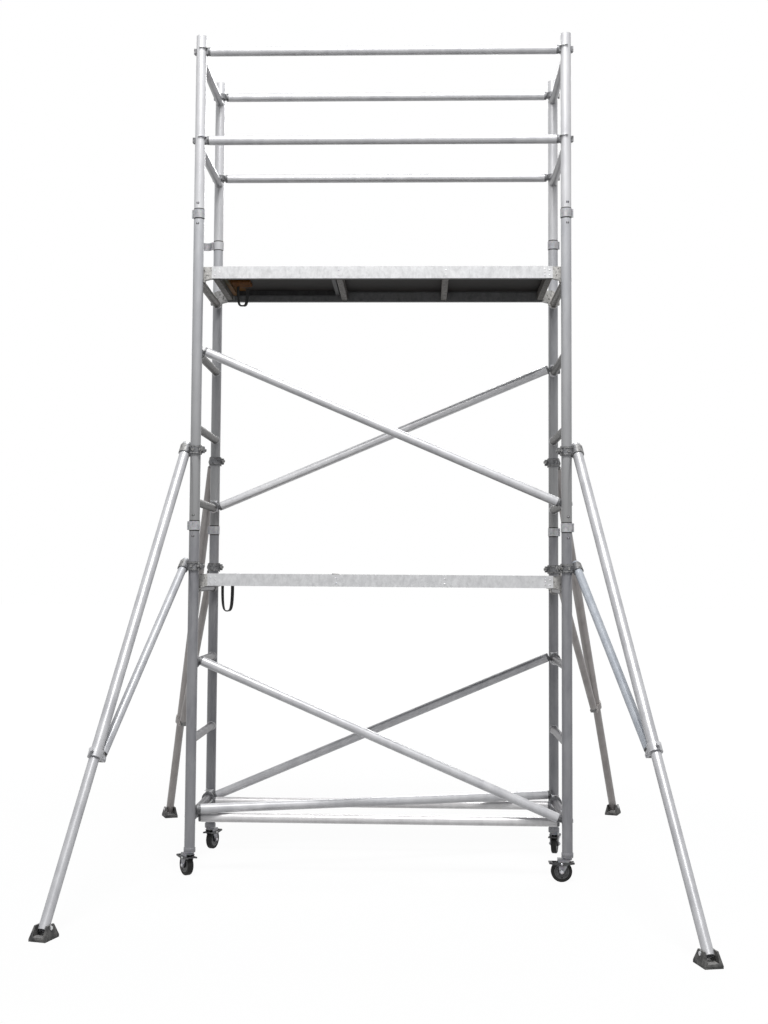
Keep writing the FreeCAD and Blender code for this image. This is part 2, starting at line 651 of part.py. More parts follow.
def castor_fork():
    """Crown, two tapered arms, axle and the brake's pivots. The wheel trails along +X."""
    wheel_radius = WHEEL_DIAMETER / 2
    half = FORK_GAP / 2 + FORK_PLATE
    top = crown_top()
    foot = top - CROWN_THICKNESS
    front = CASTOR_TRAIL + half - FORK_PLATE
    crown = rod(vec(0, 0, foot), vec(0, 0, top), half).fuse(block(0, front, -half, half, foot, top))
    boss = HUB_BOSS_RADIUS
    outline = [(-boss, foot), (front, foot), (CASTOR_TRAIL + boss, wheel_radius), (CASTOR_TRAIL - boss, wheel_radius)]
    shapes = []
    for side in (-1, 1):
        arm = prism(outline, FORK_PLATE).fuse(cross_rod(CASTOR_TRAIL, 0, wheel_radius, FORK_PLATE, boss))
        arm.translate(ACROSS * (side * (half - FORK_PLATE / 2)))
        shapes.append(arm)
    pivot_width = 2 * (half + BRAKE_SIDE_GAP + BRAKE_PLATE)
    nut_width = 2 * (half + FORK_PLATE)
    pivot = cross_rod(CASTOR_TRAIL, 0, BRAKE_PIVOT_HEIGHT, pivot_width, BRAKE_PIVOT_RADIUS)
    shapes.append(pivot.cut(block(-BIG, BIG, -FORK_GAP / 2, FORK_GAP / 2, 0, BIG)))
    nuts = cross_rod(CASTOR_TRAIL, 0, wheel_radius, nut_width, AXLE_NUT_RADIUS)
    shapes.append(nuts.cut(block(-BIG, BIG, -half, half, 0, BIG)))
    shapes.append(cross_rod(CASTOR_TRAIL, 0, wheel_radius, 2 * half, AXLE_RADIUS))
    hole = rod(vec(0, 0, foot - 1), vec(0, 0, top + 1), KINGPIN_RADIUS + KINGPIN_CLEARANCE)
    return crown.fuse(shapes).cut(hole)


def castor_wheel():
    """A rubber tyre on a webbed hub, around the axle."""
    radius = WHEEL_DIAMETER / 2
    rim = radius - TYRE_THICKNESS
    tread = cross_rod(0, 0, 0, TYRE_WIDTH, radius)
    tread = tread.makeFillet(TYRE_ROUND, [e for e in tread.Edges if e.Closed])
    tyre = tread.cut(cross_rod(0, 0, 0, TYRE_WIDTH, rim))
    flange = rim - HUB_BOSS_RADIUS / 2
    half_rim = TYRE_WIDTH / 2 - 1
    half_web = HUB_WEB / 2
    half_boss = HUB_BOSS_WIDTH / 2
    bore = AXLE_RADIUS + AXLE_CLEARANCE
    side = [(bore, half_boss), (HUB_BOSS_RADIUS, half_boss), (HUB_BOSS_RADIUS + 2, half_web),
            (flange - 2, half_web), (flange, half_rim), (rim, half_rim)]
    outline = side + [(r, -y) for r, y in reversed(side)]
    corners_3d = [vec(r, y, 0) for r, y in outline]
    face = Part.Face(Part.makePolygon(corners_3d + corners_3d[:1]))
    hub = face.revolve(vec(0, 0, 0), ACROSS, 360)
    pieces = [tyre, hub]
    for piece in pieces:
        piece.translate(vec(CASTOR_TRAIL, 0, radius))
    return pieces


def castor_brake():
    """A rocking pedal astride the fork, on the two pivots above the wheel."""
    inner = FORK_GAP / 2 + FORK_PLATE + BRAKE_SIDE_GAP
    outer = inner + BRAKE_PLATE
    z = BRAKE_PIVOT_HEIGHT
    x = CASTOR_TRAIL
    top = z + PEDAL_THICKNESS + HINGE_PIN_RADIUS
    low = z - 2 * BRAKE_PIVOT_RADIUS
    outline = [(x - BRAKE_REACH, z), (x - BRAKE_REACH, top), (x + BRAKE_REACH, top), (x + BRAKE_REACH, z),
               (x + 2 * BRAKE_PIVOT_RADIUS, low), (x - 2 * BRAKE_PIVOT_RADIUS, low)]
    shapes = []
    for side in (-1, 1):
        plate = prism(outline, BRAKE_PLATE)
        plate.translate(ACROSS * (side * (inner + BRAKE_PLATE / 2)))
        shapes.append(plate)
        end = x + side * BRAKE_REACH
        shapes.append(block(end, end - side * PEDAL_LENGTH, -outer, outer, top - PEDAL_THICKNESS, top))
    body = shapes[0].fuse(shapes[1:])
    return body.cut(cross_rod(x, 0, z, 4 * outer, BRAKE_PIVOT_RADIUS + BRAKE_PIVOT_CLEARANCE))


def castors():
    nodes = {"castor_stems": []}
    for name, (sx, sy, swing, reach, side) in STABILISERS.items():
        heading = math.radians(CASTOR_HEADINGS[name])
        trail = vec(math.cos(heading), math.sin(heading), 0)
        origin = vec(sx * HALF_BAY, sy * HALF_WIDTH, 0)
        nodes["castor_stems"].append(framed(castor_stem(), origin, ALONG, UP))
        nodes["castor_" + name + "_fork"] = [framed(castor_fork(), origin, trail, UP)]
        nodes["castor_" + name + "_wheel"] = [framed(piece, origin, trail, UP) for piece in castor_wheel()]
        nodes["castor_" + name + "_brake"] = [framed(castor_brake(), origin, trail, UP)]
    return nodes


# ---- stabilisers --------------------------------------------------------------------
def coupler_bolt(z, side):
    """The eye bolt and nut that close a coupler, on the given side of the post."""
    near = POST_RADIUS + COUPLER_WALL
    seat = near - COUPLER_WALL / 2
    half = COUPLER_EYE_WIDTH / 2
    rise = COUPLER_EYE_HEIGHT / 2
    eye = block(-half, half, side * seat, side * (near + COUPLER_EYE_REACH), z - rise, z + rise)
    y = side * (near + COUPLER_BOLT_OFFSET)
    tip = vec(COUPLER_BOLT_REACH, y, z)
    shank = rod(vec(-COUPLER_BOLT_REACH, y, z), tip, COUPLER_BOLT_RADIUS)
    nut = rod(tip - ALONG * COUPLER_NUT_LENGTH, tip, COUPLER_NUT_RADIUS)
    return eye.fuse([shank, nut])


def post_ring(z):
    low = vec(0, 0, z - COUPLER_HEIGHT / 2)
    return rod(low, low + UP * COUPLER_HEIGHT, POST_RADIUS + COUPLER_WALL)


def post_room(z):
    low = vec(0, 0, z - COUPLER_HEIGHT)
    return rod(low, low + UP * (2 * COUPLER_HEIGHT), POST_RADIUS + COUPLER_FIT)


def side_coupler(pivot, along, radius, bolt_side):
    """Two rings joined by a swivel: one on the post, one on the tube beside it."""
    half = along * (COUPLER_HEIGHT / 2)
    side = 1 if pivot.y > 0 else -1
    saddle = rod(pivot - half, pivot + half, radius + COUPLER_WALL)
    boss_start = vec(0, side * POST_RADIUS, pivot.z)
    boss = rod(boss_start, vec(0, pivot.y - side * radius, pivot.z), COUPLER_BOSS_RADIUS)
    body = post_ring(pivot.z).fuse([saddle, boss, coupler_bolt(pivot.z, bolt_side)])
    return body.cut([post_room(pivot.z), rod(pivot - half * 2, pivot + half * 2, radius)])


def fork_coupler(pivot, bolt_side):
    """A ring on the post with two ears that carry a hinge pin behind it."""
    z = pivot.z
    shapes = [coupler_bolt(z, bolt_side)]
    inner = TONGUE_WIDTH / 2 + TONGUE_CLEARANCE
    for side in (-1, 1):
        ear = block(0, pivot.x, side * inner, side * (inner + FORK_EAR), z - TONGUE_RADIUS, z + TONGUE_RADIUS)
        eye = cross_rod(pivot.x, side * (inner + FORK_EAR / 2), z, FORK_EAR, TONGUE_RADIUS)
        shapes += [ear, eye]
    shapes.append(cross_rod(pivot.x, 0, z, 2 * (inner + FORK_EAR + HINGE_RADIUS), FORK_PIN_RADIUS))
    return post_ring(z).fuse(shapes).cut(post_room(z))


def tongue(pivot, along, tube_radius, wall, pin_radius, width, radius):
    """The eye that closes the end of a tube and turns on a pin."""
    eye = cross_rod(pivot.x, pivot.y, pivot.z, width, radius)
    start = pivot + along * TONGUE_REACH
    neck = rod(pivot + along * (radius / 2), start, tube_radius)
    slab = block(pivot.x - BIG * 2, pivot.x + BIG * 2, pivot.y - width / 2, pivot.y + width / 2,
                 pivot.z - BIG * 2, pivot.z + BIG * 2)
    plug = rod(start, start + along * TONGUE_REACH, tube_radius - wall - CLAW_FIT)
    hole = cross_rod(pivot.x, pivot.y, pivot.z, 2 * width, pin_radius + HINGE_PIN_CLEARANCE)
    return eye.fuse([neck.common(slab), plug]).cut(hole)


def arm_collar(pivot, along, across, knuckle):
    """The ring at the mouth of the outer tube, its lock knob and the strut's ears."""
    mouth = pivot + along * ARM_LENGTH
    back = mouth - along * ARM_COLLAR_HEIGHT
    centre = (mouth + back) * 0.5
    ring = rod(back, mouth, ARM_RADIUS + ARM_COLLAR_WALL)
    inner = TONGUE_WIDTH / 2 + TONGUE_CLEARANCE
    shapes = []
    for side in (-1, 1):
        plate = strap_plate(centre.x, centre.z, TONGUE_RADIUS, knuckle.x, knuckle.z, KNUCKLE_RADIUS, FORK_EAR)
        plate.translate(ACROSS * (pivot.y + side * (inner + FORK_EAR / 2)))
        shapes.append(plate)
    pin_width = 2 * (inner + FORK_EAR + HINGE_RADIUS)
    shapes.append(cross_rod(knuckle.x, knuckle.y, knuckle.z, pin_width, KNUCKLE_PIN_RADIUS))
    knob_seat = centre - across * (ARM_RADIUS + ARM_COLLAR_WALL / 2)
    shapes.append(rod(knob_seat, knob_seat - across * KNOB_STEM, KNOB_RADIUS / 2))
    shapes.append(rod(knob_seat - across * KNOB_STEM, knob_seat - across * (KNOB_STEM + KNOB_RADIUS), KNOB_RADIUS))
    return ring.fuse(shapes).cut(rod(back - along, mouth + along, ARM_RADIUS))


def foot(pivot):
    """A rubber foot: a flared block with a slot for the leg and the pivot pin."""
    def outline(length, breadth, z):
        corners_3d = [vec(pivot.x + sx * length / 2, pivot.y + sy * breadth / 2, z)
                      for sx, sy in ((-1, -1), (1, -1), (1, 1), (-1, 1))]
        return Part.makePolygon(corners_3d + corners_3d[:1])
    sole = block(pivot.x - FOOT_LENGTH / 2, pivot.x + FOOT_LENGTH / 2,
                 pivot.y - FOOT_BREADTH / 2, pivot.y + FOOT_BREADTH / 2, 0, FOOT_SOLE)
    base = outline(FOOT_LENGTH, FOOT_BREADTH, FOOT_SOLE)
    top = outline(FOOT_TOP_LENGTH, FOOT_TOP_BREADTH, FOOT_HEIGHT)
    skirt = Part.makeLoft([base, top], True, True)
    slot = LEG_RADIUS + FOOT_SIDE_GAP
    room = block(pivot.x - FOOT_LENGTH, pivot.x + FOOT_LENGTH, pivot.y - slot, pivot.y + slot,
                 FOOT_FLOOR, 2 * FOOT_HEIGHT)
    pin = cross_rod(pivot.x, pivot.y, pivot.z, FOOT_TOP_BREADTH + HINGE_RADIUS, FOOT_PIN_RADIUS)
    return sole.fuse(skirt).cut(room).fuse(pin)


def stabiliser(sx, reach, side):
    """Arm, strut, leg and foot in a frame with the post on Z and the foot along +X."""
    if side:
        x = 0.0
        y = side * COUPLER_OFFSET
    else:
        x = COUPLER_OFFSET
        y = 0.0
    upper = vec(x, y, ARM_PIVOT_HEIGHT)
    lower = vec(x, y, STRUT_PIVOT_HEIGHT)
    ankle = vec(reach, y, FOOT_PIVOT_HEIGHT)
    along = unit(ankle - upper)
    across = vec(along.z, 0, -along.x)
    knuckle = upper + along * (ARM_LENGTH - ARM_COLLAR_HEIGHT / 2) + across * KNUCKLE_OFFSET
    strut_along = unit(knuckle - lower)
    mouth = upper + along * ARM_LENGTH
    strut_end = knuckle - strut_along * TONGUE_REACH
    arm = []
    strut = []
    if side:
        top = upper - along * ARM_OVERHANG
        strut_top = lower - strut_along * ARM_OVERHANG
        arm.append(side_coupler(upper, along, ARM_RADIUS, -side))
        arm.append(rod(top - along * CAP_THICKNESS, top, ARM_RADIUS))
        strut.append(side_coupler(lower, strut_along, STRUT_RADIUS, -side))
        strut.append(rod(strut_top - strut_along * CAP_THICKNESS, strut_top, STRUT_RADIUS))
    else:
        top = upper + along * TONGUE_REACH
        strut_top = lower + strut_along * TONGUE_REACH
        arm.append(fork_coupler(upper, sx))
        arm.append(tongue(upper, along, ARM_RADIUS, ARM_WALL, FORK_PIN_RADIUS, TONGUE_WIDTH, TONGUE_RADIUS))
        strut.append(fork_coupler(lower, sx))
        strut.append(tongue(lower, strut_along, STRUT_RADIUS, STRUT_WALL, FORK_PIN_RADIUS,
                            TONGUE_WIDTH, TONGUE_RADIUS))
    arm.append(tube(top, mouth, ARM_RADIUS, ARM_RADIUS - ARM_WALL))
    arm.append(arm_collar(upper, along, across, knuckle))
    strut.append(tube(strut_top, strut_end, STRUT_RADIUS, STRUT_RADIUS - STRUT_WALL))
    strut.append(tongue(knuckle, -strut_along, STRUT_RADIUS, STRUT_WALL, KNUCKLE_PIN_RADIUS,
                        TONGUE_WIDTH, KNUCKLE_RADIUS))
    leg = tube(mouth - along * LEG_OVERLAP, ankle + along * LEG_TOE, LEG_RADIUS, LEG_RADIUS - LEG_WALL)
    leg = leg.cut(cross_rod(ankle.x, ankle.y, ankle.z, 4 * LEG_RADIUS, FOOT_PIN_RADIUS + HINGE_PIN_CLEARANCE))
    return {"arm": arm, "strut": strut, "leg": [leg], "foot": [foot(ankle)]}


def stabiliser_frame(name):
    """The post's foot on the ground and the horizontal direction the foot points in."""
    sx, sy, swing, reach, side = STABILISERS[name]
    angle = math.radians(swing)
    return vec(sx * HALF_BAY, sy * HALF_WIDTH, 0), vec(sx * math.sin(angle), sy * math.cos(angle), 0)


def stabilisers():
    nodes = {}
    for name, (sx, sy, swing, reach, side) in STABILISERS.items():
        origin, heading = stabiliser_frame(name)
        for piece, shapes in stabiliser(sx, reach, side).items():
            nodes["stabiliser_" + name + "_" + piece] = [framed(s, origin, heading, UP) for s in shapes]
    return nodes


def footprint_centre():
    """The centre of the rectangle around the four feet, seen from above."""
    xs = []
    ys = []
    for name, (sx, sy, swing, reach, side) in STABILISERS.items():
        origin, heading = stabiliser_frame(name)
        sideways = UP.cross(heading)
        for end in (-1, 1):
            for edge in (-1, 1):
                spot = origin + heading * (reach + end * FOOT_LENGTH / 2)
                spot = spot + sideways * (side * COUPLER_OFFSET + edge * FOOT_BREADTH / 2)
                xs.append(spot.x)
                ys.append(spot.y)
    return vec((min(xs) + max(xs)) / 2, (min(ys) + max(ys)) / 2, 0)


# ---- assembly -----------------------------------------------------------------------
def tower():
    """Every node of the tower as a list of separate solids."""
    nodes = {}
    for label, side in (("left", -1), ("right", 1)):
        nodes["base_frame_" + label] = end_frame(side, POST_FOOT_HEIGHT, FRAME_POST_LENGTH, BASE_RUNGS)
        nodes["upper_frame_" + label] = end_frame(side, LOWER_JOINT, FRAME_POST_LENGTH, UPPER_RUNGS)
        nodes["guard_frame_" + label] = end_frame(side, UPPER_JOINT, GUARD_POST_LENGTH, GUARD_BARS)
    nodes["joint_spigots"] = spigots()
    nodes["interlock_clips"], nodes["interlock_leaf_open"] = interlocks()
    nodes.update(braces())
    for level, rung_z in PLATFORM_RUNGS.items():
        low = rung_z + BEAM_RUNG_RISE
        name = "platform_" + level
        nodes[name + "_frame"] = platform_frame(low)
        nodes[name + "_boards"] = platform_boards(low)
        nodes[name + "_hatch"] = hatch(low)
        nodes[name + "_hooks"] = platform_hooks(rung_z)
        nodes[name + "_catch"] = [catch(low)]
        nodes[name + "_strap"] = [strap(level, low)]
    nodes.update(castors())
    nodes.update(stabilisers())
    return nodes


def main():
    os.makedirs("parts", exist_ok=True)
    shift = footprint_centre() * -1.0
    for name, shapes in tower().items():
        solids = [solid for shape in shapes for solid in shape.Solids]
        node = Part.makeCompound(solids)
        node.translate(shift)
        node.exportStep(os.path.join("parts", name + ".step"))
        print(name, len(solids), "solids", "valid" if node.isValid() else "INVALID")


main()
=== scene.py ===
import math

import bmesh
import bpy
import numpy
from mathutils import Matrix, Vector


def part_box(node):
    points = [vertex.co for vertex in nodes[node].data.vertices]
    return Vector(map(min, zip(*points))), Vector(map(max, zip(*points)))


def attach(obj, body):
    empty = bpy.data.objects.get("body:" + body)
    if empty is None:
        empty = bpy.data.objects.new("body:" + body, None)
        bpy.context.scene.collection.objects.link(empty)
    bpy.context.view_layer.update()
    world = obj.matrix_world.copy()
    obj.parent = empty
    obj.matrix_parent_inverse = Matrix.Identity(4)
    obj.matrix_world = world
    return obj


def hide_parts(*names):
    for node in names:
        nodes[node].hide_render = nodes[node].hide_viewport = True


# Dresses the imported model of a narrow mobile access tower: metal, deck and rubber finishes
# for every solid of the frame, and the welds, rivets, knobs, screws and straps on it.
# Metres, in the part's own frame: +X along the bay, +Y to the rear, +Z up from the ground.

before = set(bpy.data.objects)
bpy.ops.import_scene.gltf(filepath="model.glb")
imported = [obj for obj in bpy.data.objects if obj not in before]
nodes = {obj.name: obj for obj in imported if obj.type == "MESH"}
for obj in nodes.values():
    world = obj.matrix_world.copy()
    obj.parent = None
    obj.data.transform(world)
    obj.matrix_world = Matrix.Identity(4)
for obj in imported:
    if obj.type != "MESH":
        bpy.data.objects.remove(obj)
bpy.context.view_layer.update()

# ---- directions, places and sizes ------------------------------------------------------
ALONG = Vector((1, 0, 0))
ACROSS = Vector((0, 1, 0))
UP = Vector((0, 0, 1))

POST_RADIUS = 0.0254
RUNG_RADIUS = 0.020
BRACE_RADIUS = 0.0225
CLIP_HEIGHT = 0.042
BEAM_WIDTH = 0.045              # of a platform's side beam with its ledge
COUPLER_WALL = 0.006
COUPLER_REACH = 0.047           # a coupler's castings lie this near to the post's axis
HAIR = 0.0005                   # how far rivets are sunk, and the slack in sorting faces
SCREW_SINK = 0.0003

FRAME_LOW, FRAME_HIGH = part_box("base_frame_left")
LEFT = FRAME_LOW.x + POST_RADIUS
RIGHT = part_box("base_frame_right")[1].x - POST_RADIUS
FRONT = FRAME_LOW.y + POST_RADIUS
REAR = FRAME_HIGH.y - POST_RADIUS
CENTRE = Vector(((LEFT + RIGHT) / 2, (FRONT + REAR) / 2, 0))
CORNERS = {"front_left": (LEFT, FRONT), "front_right": (RIGHT, FRONT),
           "rear_left": (LEFT, REAR), "rear_right": (RIGHT, REAR)}

LOWER_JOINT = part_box("upper_frame_left")[0].z
UPPER_JOINT, POST_TOP = (corner.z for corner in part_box("guard_frame_left"))
BASE_RUNGS = (0.280, 0.645, 1.010, 1.375)
UPPER_RUNGS = (1.793, 2.158, 2.523, 2.888)
GUARD_BARS = (3.546, 3.995)
ARM_PIVOT_HEIGHT = 2.045
STRUT_PIVOT_HEIGHT = 1.480
ANKLE_HEIGHT = 0.045

LEVELS = ("lower", "upper")
HATCH_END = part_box("platform_upper_hatch")[0].x
PLATFORM_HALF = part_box("platform_upper_frame")[1].y - CENTRE.y
DECK_TOPS = {level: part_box("platform_" + level + "_boards")[1].z for level in LEVELS}
DECK_BOTTOMS = {level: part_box("platform_" + level + "_boards")[0].z for level in LEVELS}


# ---- node helpers ----------------------------------------------------------------------
def feed(finish, value, target):
    """Links a socket to an input, or sets the input's own value."""
    if isinstance(value, bpy.types.NodeSocket):
        finish.node_tree.links.new(value, target)
    else:
        target.default_value = value


def add_node(finish, kind, inputs=(), **settings):
    """One shader node with its settings; each input is a value or a socket to link."""
    node = finish.node_tree.nodes.new("ShaderNode" + kind)
    for key, value in settings.items():
        setattr(node, key, value)
    for key, value in dict(inputs).items():
        feed(finish, value, node.inputs[key])
    return node


def object_coordinates(finish, grain=None, stretch=1.0):
    """Object coordinates; with a grain, local Z lies along it and patterns stretch along it."""
    place = add_node(finish, "TexCoord").outputs["Object"]
    mapping = add_node(finish, "Mapping", {"Vector": place, "Scale": (1, 1, stretch)},
                       vector_type="POINT")
    if grain is not None:
        turn = Vector(grain).normalized().rotation_difference(UP)
        mapping.inputs["Rotation"].default_value = turn.to_euler()
    return mapping.outputs["Vector"]


def axes(finish, place):
    """The X, Y and Z of a place, as sockets."""
    return add_node(finish, "SeparateXYZ", {"Vector": place}).outputs


def noise(finish, place, scale, detail=3.0, roughness=0.55, distortion=0.0):
    inputs = {"Vector": place, "Scale": scale, "Detail": detail, "Roughness": roughness,
              "Distortion": distortion}
    return add_node(finish, "TexNoise", inputs).outputs["Fac"]


def ramp(finish, factor, stops):
    """A colour ramp; stops are (position, colour) pairs."""
    node = add_node(finish, "ValToRGB", {"Fac": factor})
    elements = node.color_ramp.elements
    while len(elements) < len(stops):
        elements.new(0.5)
    for element, (position, colour) in zip(elements, stops):
        element.position = position
        element.color = (*colour, 1)
    return node.outputs["Color"]


def grey(value):
    return (value, value, value)


def black_to_white(finish, factor, black, white):
    """Black up to one level of a factor and white from the other."""
    return ramp(finish, factor, [(black, grey(0)), (white, grey(1))])


def mix(finish, factor, first, second, blend="MIX"):
    """Mixes two colours; each argument is a socket or a plain value."""
    node = add_node(finish, "Mix", data_type="RGBA", blend_type=blend, clamp_result=True)
    live = {socket.name: socket for socket in node.inputs if socket.enabled}
    feed(finish, factor, live["Factor"])
    for key, colour in (("A", first), ("B", second)):
        feed(finish, (*colour, 1) if isinstance(colour, tuple) else colour, live[key])
    return next(socket for socket in node.outputs if socket.enabled)


def arithmetic(finish, operation, *values):
    node = add_node(finish, "Math", operation=operation)
    for target, value in zip(node.inputs, values):
        feed(finish, value, target)
    return node.outputs["Value"]


def spread(finish, value, low, high, start=0.0, end=1.0):
    """Carries a value that runs from start to end on to the given limits."""
    limits = {"Value": value, "From Min": start, "From Max": end, "To Min": low, "To Max": high}
    return add_node(finish, "MapRange", limits).outputs["Result"]


def bump(finish, height, strength, distance):
    inputs = {"Height": height, "Strength": strength, "Distance": distance}
    return add_node(finish, "Bump", inputs).outputs["Normal"]


def new_finish(name, **values):
    """A material whose plain values sit on the shader's own sockets."""
    finish = bpy.data.materials.new(name)
    finish.use_nodes = True
    for key, value in values.items():
        shader_of(finish).inputs[key.replace("_", " ")].default_value = value
    return finish


def shader_of(finish):
    return finish.node_tree.nodes["Principled BSDF"]


def cover(finish, colour, roughness, relief):
    """Feeds the patterns of a finish to its shader."""
    for key, pattern in (("Base Color", colour), ("Roughness", roughness), ("Normal", relief)):
        feed(finish, pattern, shader_of(finish).inputs[key])
    return finish


# ---- finishes --------------------------------------------------------------------------
TUBE_METALLIC = 0.22
SCUFF_AND_SHADE = 0.62                  # the tone of a scuff, which is also the painted shade towards a post's foot, as a share of the tube's dark tone
PAINTED_SHADE_HEIGHT = 1.5            # a post is darkened over this height below its joint, as painted shade
MESH_PITCH = 0.006
PLY_PITCH = 0.0028


def drawn_aluminium(name, grain, light, dark, warmth=0.0, specular=0.5, painted_shade_below=None):
    """Drawn tube: fine lines along the grain, cloudy oxide and a few dull scuffs.

    Given a height, the tube darkens below it towards its foot, as painted shade.
    """
    finish = new_finish(name, Metallic=TUBE_METALLIC, Specular_IOR_Level=specular)
    lines = noise(finish, object_coordinates(finish, grain, 0.012),
                  scale=420, detail=4.0, roughness=0.6)
    clouds = noise(finish, object_coordinates(finish, grain, 0.35),
                   scale=16, detail=5.0, roughness=0.62, distortion=0.3)
    scuffs = noise(finish, object_coordinates(finish, grain, 0.22),
                   scale=70, detail=6.0, roughness=0.7, distortion=0.8)
    tone_light = (light + warmth, light, light - warmth + 0.012)
    tone_dark = (dark + warmth, dark, dark - warmth + 0.016)
    dull = grey(dark * SCUFF_AND_SHADE)
    cloudy = ramp(finish, clouds, [(0.34, tone_dark), (0.60, tone_light)])
    lined = mix(finish, spread(finish, lines, 0.0, 0.22), cloudy, grey(0.36), "MULTIPLY")
    worn = black_to_white(finish, scuffs, 0.64, 0.72)
    colour = mix(finish, spread(finish, worn, 0.0, 0.45), lined, dull)
    # Painted shade: below the given height the tube darkens towards its foot.
    if painted_shade_below is not None:
        height = axes(finish, object_coordinates(finish))["Z"]
        painted_shade = spread(finish, height, 0.0, 1.0, painted_shade_below, painted_shade_below - PAINTED_SHADE_HEIGHT)
        colour = mix(finish, painted_shade, colour, dull)
    rough = arithmetic(finish, "ADD", spread(finish, lines, 0.26, 0.46),
                       spread(finish, worn, 0.0, 0.16))
    return cover(finish, colour, rough, bump(finish, lines, 0.06, 0.0003))


def extruded_aluminium(name, low=0.50, high=0.72, metallic=TUBE_METALLIC, specular=0.5):
    """Mill-finish section: mottled oxide patches over faint extrusion lines."""
    finish = new_finish(name, Metallic=metallic, Specular_IOR_Level=specular)
    lines = noise(finish, object_coordinates(finish, ALONG, 0.006),
                  scale=300, detail=3.0, roughness=0.5)
    patches = noise(finish, object_coordinates(finish, ALONG, 0.6),
                    scale=48, detail=8.0, roughness=0.72, distortion=0.5)
    broad = noise(finish, object_coordinates(finish), scale=5)
    mottled = ramp(finish, patches,
                   [(0.34, grey(low)), (0.48, grey((low + high) / 2)), (0.64, grey(high))])
    bluish = (high * 0.9, high * 0.91, high * 0.95)
    toned = mix(finish, spread(finish, broad, 0.0, 0.4), mottled, bluish)
    colour = mix(finish, spread(finish, lines, 0.0, 0.2), toned, grey(0.4), "MULTIPLY")
    return cover(finish, colour, spread(finish, patches, 0.32, 0.58),
                 bump(finish, patches, 0.15, 0.0006))


def cast_metal(name, dark, light, roughness=0.5, rubbing_and_highlight=0.55):
    """Sand-cast or weathered metal: grainy skin, dirt in its hollows, and bright patches that are
    partly rubbed wear, partly painted highlight.
    """
    finish = new_finish(name, Metallic=0.35)
    place = object_coordinates(finish)
    grain = noise(finish, place, scale=900, detail=3.0, roughness=0.6)
    clouds = noise(finish, place, scale=60, detail=5.0, roughness=0.65)
    pits = noise(finish, place, scale=85, detail=4.0, roughness=0.6, distortion=0.4)
    rubbed_and_highlit = noise(finish, place, scale=110, detail=6.0, roughness=0.75, distortion=0.6)
    cloudy = ramp(finish, clouds, [(0.36, dark), (0.62, light)])
    dirty = ramp(finish, pits, [(0.36, grey(1)), (0.44, grey(0))])
    settled = mix(finish, spread(finish, dirty, 0.0, 0.8), cloudy, (0.02, 0.018, 0.017))
    # The bright patches are partly rubbed wear, partly painted highlight.
    bright = black_to_white(finish, rubbed_and_highlit, 0.56, 0.66)
    colour = mix(finish, spread(finish, bright, 0.0, rubbing_and_highlight), settled, grey(0.50))
    return cover(finish, colour, spread(finish, grain, roughness - 0.1, roughness + 0.16),
                 bump(finish, clouds, 0.35, 0.0010))


def zinc_plate(name, light=0.66, dark=0.42, metallic=0.75):
    """Zinc-plated steel: soft spangle with dull passivated clouds."""
    finish = new_finish(name, Metallic=metallic)
    place = object_coordinates(finish)
    spangle = add_node(finish, "TexVoronoi", {"Vector": place, "Scale": 260.0, "Randomness": 1.0})
    clouds = noise(finish, place, scale=60, detail=5.0, roughness=0.6)
    cloudy = ramp(finish, clouds,
                  [(0.35, (dark, dark, dark + 0.02)), (0.62, (light, light, light + 0.01))])
    colour = mix(finish, 0.14, cloudy, spangle.outputs["Color"], "SOFT_LIGHT")
    return cover(finish, colour, spread(finish, clouds, 0.24, 0.46),
                 bump(finish, clouds, 0.12, 0.0004))


def film_dust(finish, place):
    return noise(finish, place, scale=9, detail=6.0, roughness=0.66)


def wood_grain(finish):
    return noise(finish, object_coordinates(finish, ALONG, 0.05),
                 scale=130, detail=5.0, roughness=0.6)


def board_top(name):
    """Film-faced plywood from above: a wire-mesh grip, dulled by dust."""
    finish = new_finish(name, Metallic=0.0, Specular_IOR_Level=0.3)
    place = object_coordinates(finish)
    wires = []
    for axis in ("X", "Y"):
        turns = arithmetic(finish, "MULTIPLY", axes(finish, place)[axis], 2 * math.pi / MESH_PITCH)
        wires.append(arithmetic(finish, "ABSOLUTE", arithmetic(finish, "SINE", turns)))
    mesh = arithmetic(finish, "MULTIPLY", *wires)
    dust = film_dust(finish, place)
    film = mix(finish, mesh, (0.040, 0.033, 0.028), (0.085, 0.074, 0.062))
    colour = mix(finish, spread(finish, dust, 0.0, 0.45), film, (0.16, 0.15, 0.135))
    return cover(finish, colour, spread(finish, dust, 0.42, 0.66), bump(finish, mesh, 0.5, 0.0006))


def board_underside(name, worn_end=None):
    """Film-faced plywood from below, worn through to the wood at the end that is pulled."""
    finish = new_finish(name, Metallic=0.0, Specular_IOR_Level=0.03)
    place = object_coordinates(finish)
    grain = wood_grain(finish)
    dust = film_dust(finish, place)
    colour = ramp(finish, dust, [(0.35, (0.018, 0.017, 0.016)), (0.70, (0.038, 0.034, 0.032))])
    if worn_end is not None:
        ragged = arithmetic(finish, "ADD", axes(finish, place)["X"],
                            spread(finish, dust, -0.03, 0.03))
        wear = spread(finish, ragged, 0.0, 1.0, worn_end + 0.09, worn_end + 0.05)
        figure = spread(finish, grain, 0.1, 1.0)
        bare = mix(finish, figure, (0.080, 0.036, 0.010), (0.20, 0.095, 0.025))
        stained = mix(finish, figure, (0.022, 0.022, 0.010), (0.060, 0.056, 0.024))
        pulled = spread(finish, axes(finish, place)["Y"], 0.0, 1.0,
                        CENTRE.y - 0.10, CENTRE.y + 0.04)
        colour = mix(finish, wear, colour, mix(finish, pulled, stained, bare))
    return cover(finish, colour, spread(finish, dust, 0.42, 0.66), bump(finish, grain, 0.2, 0.0004))


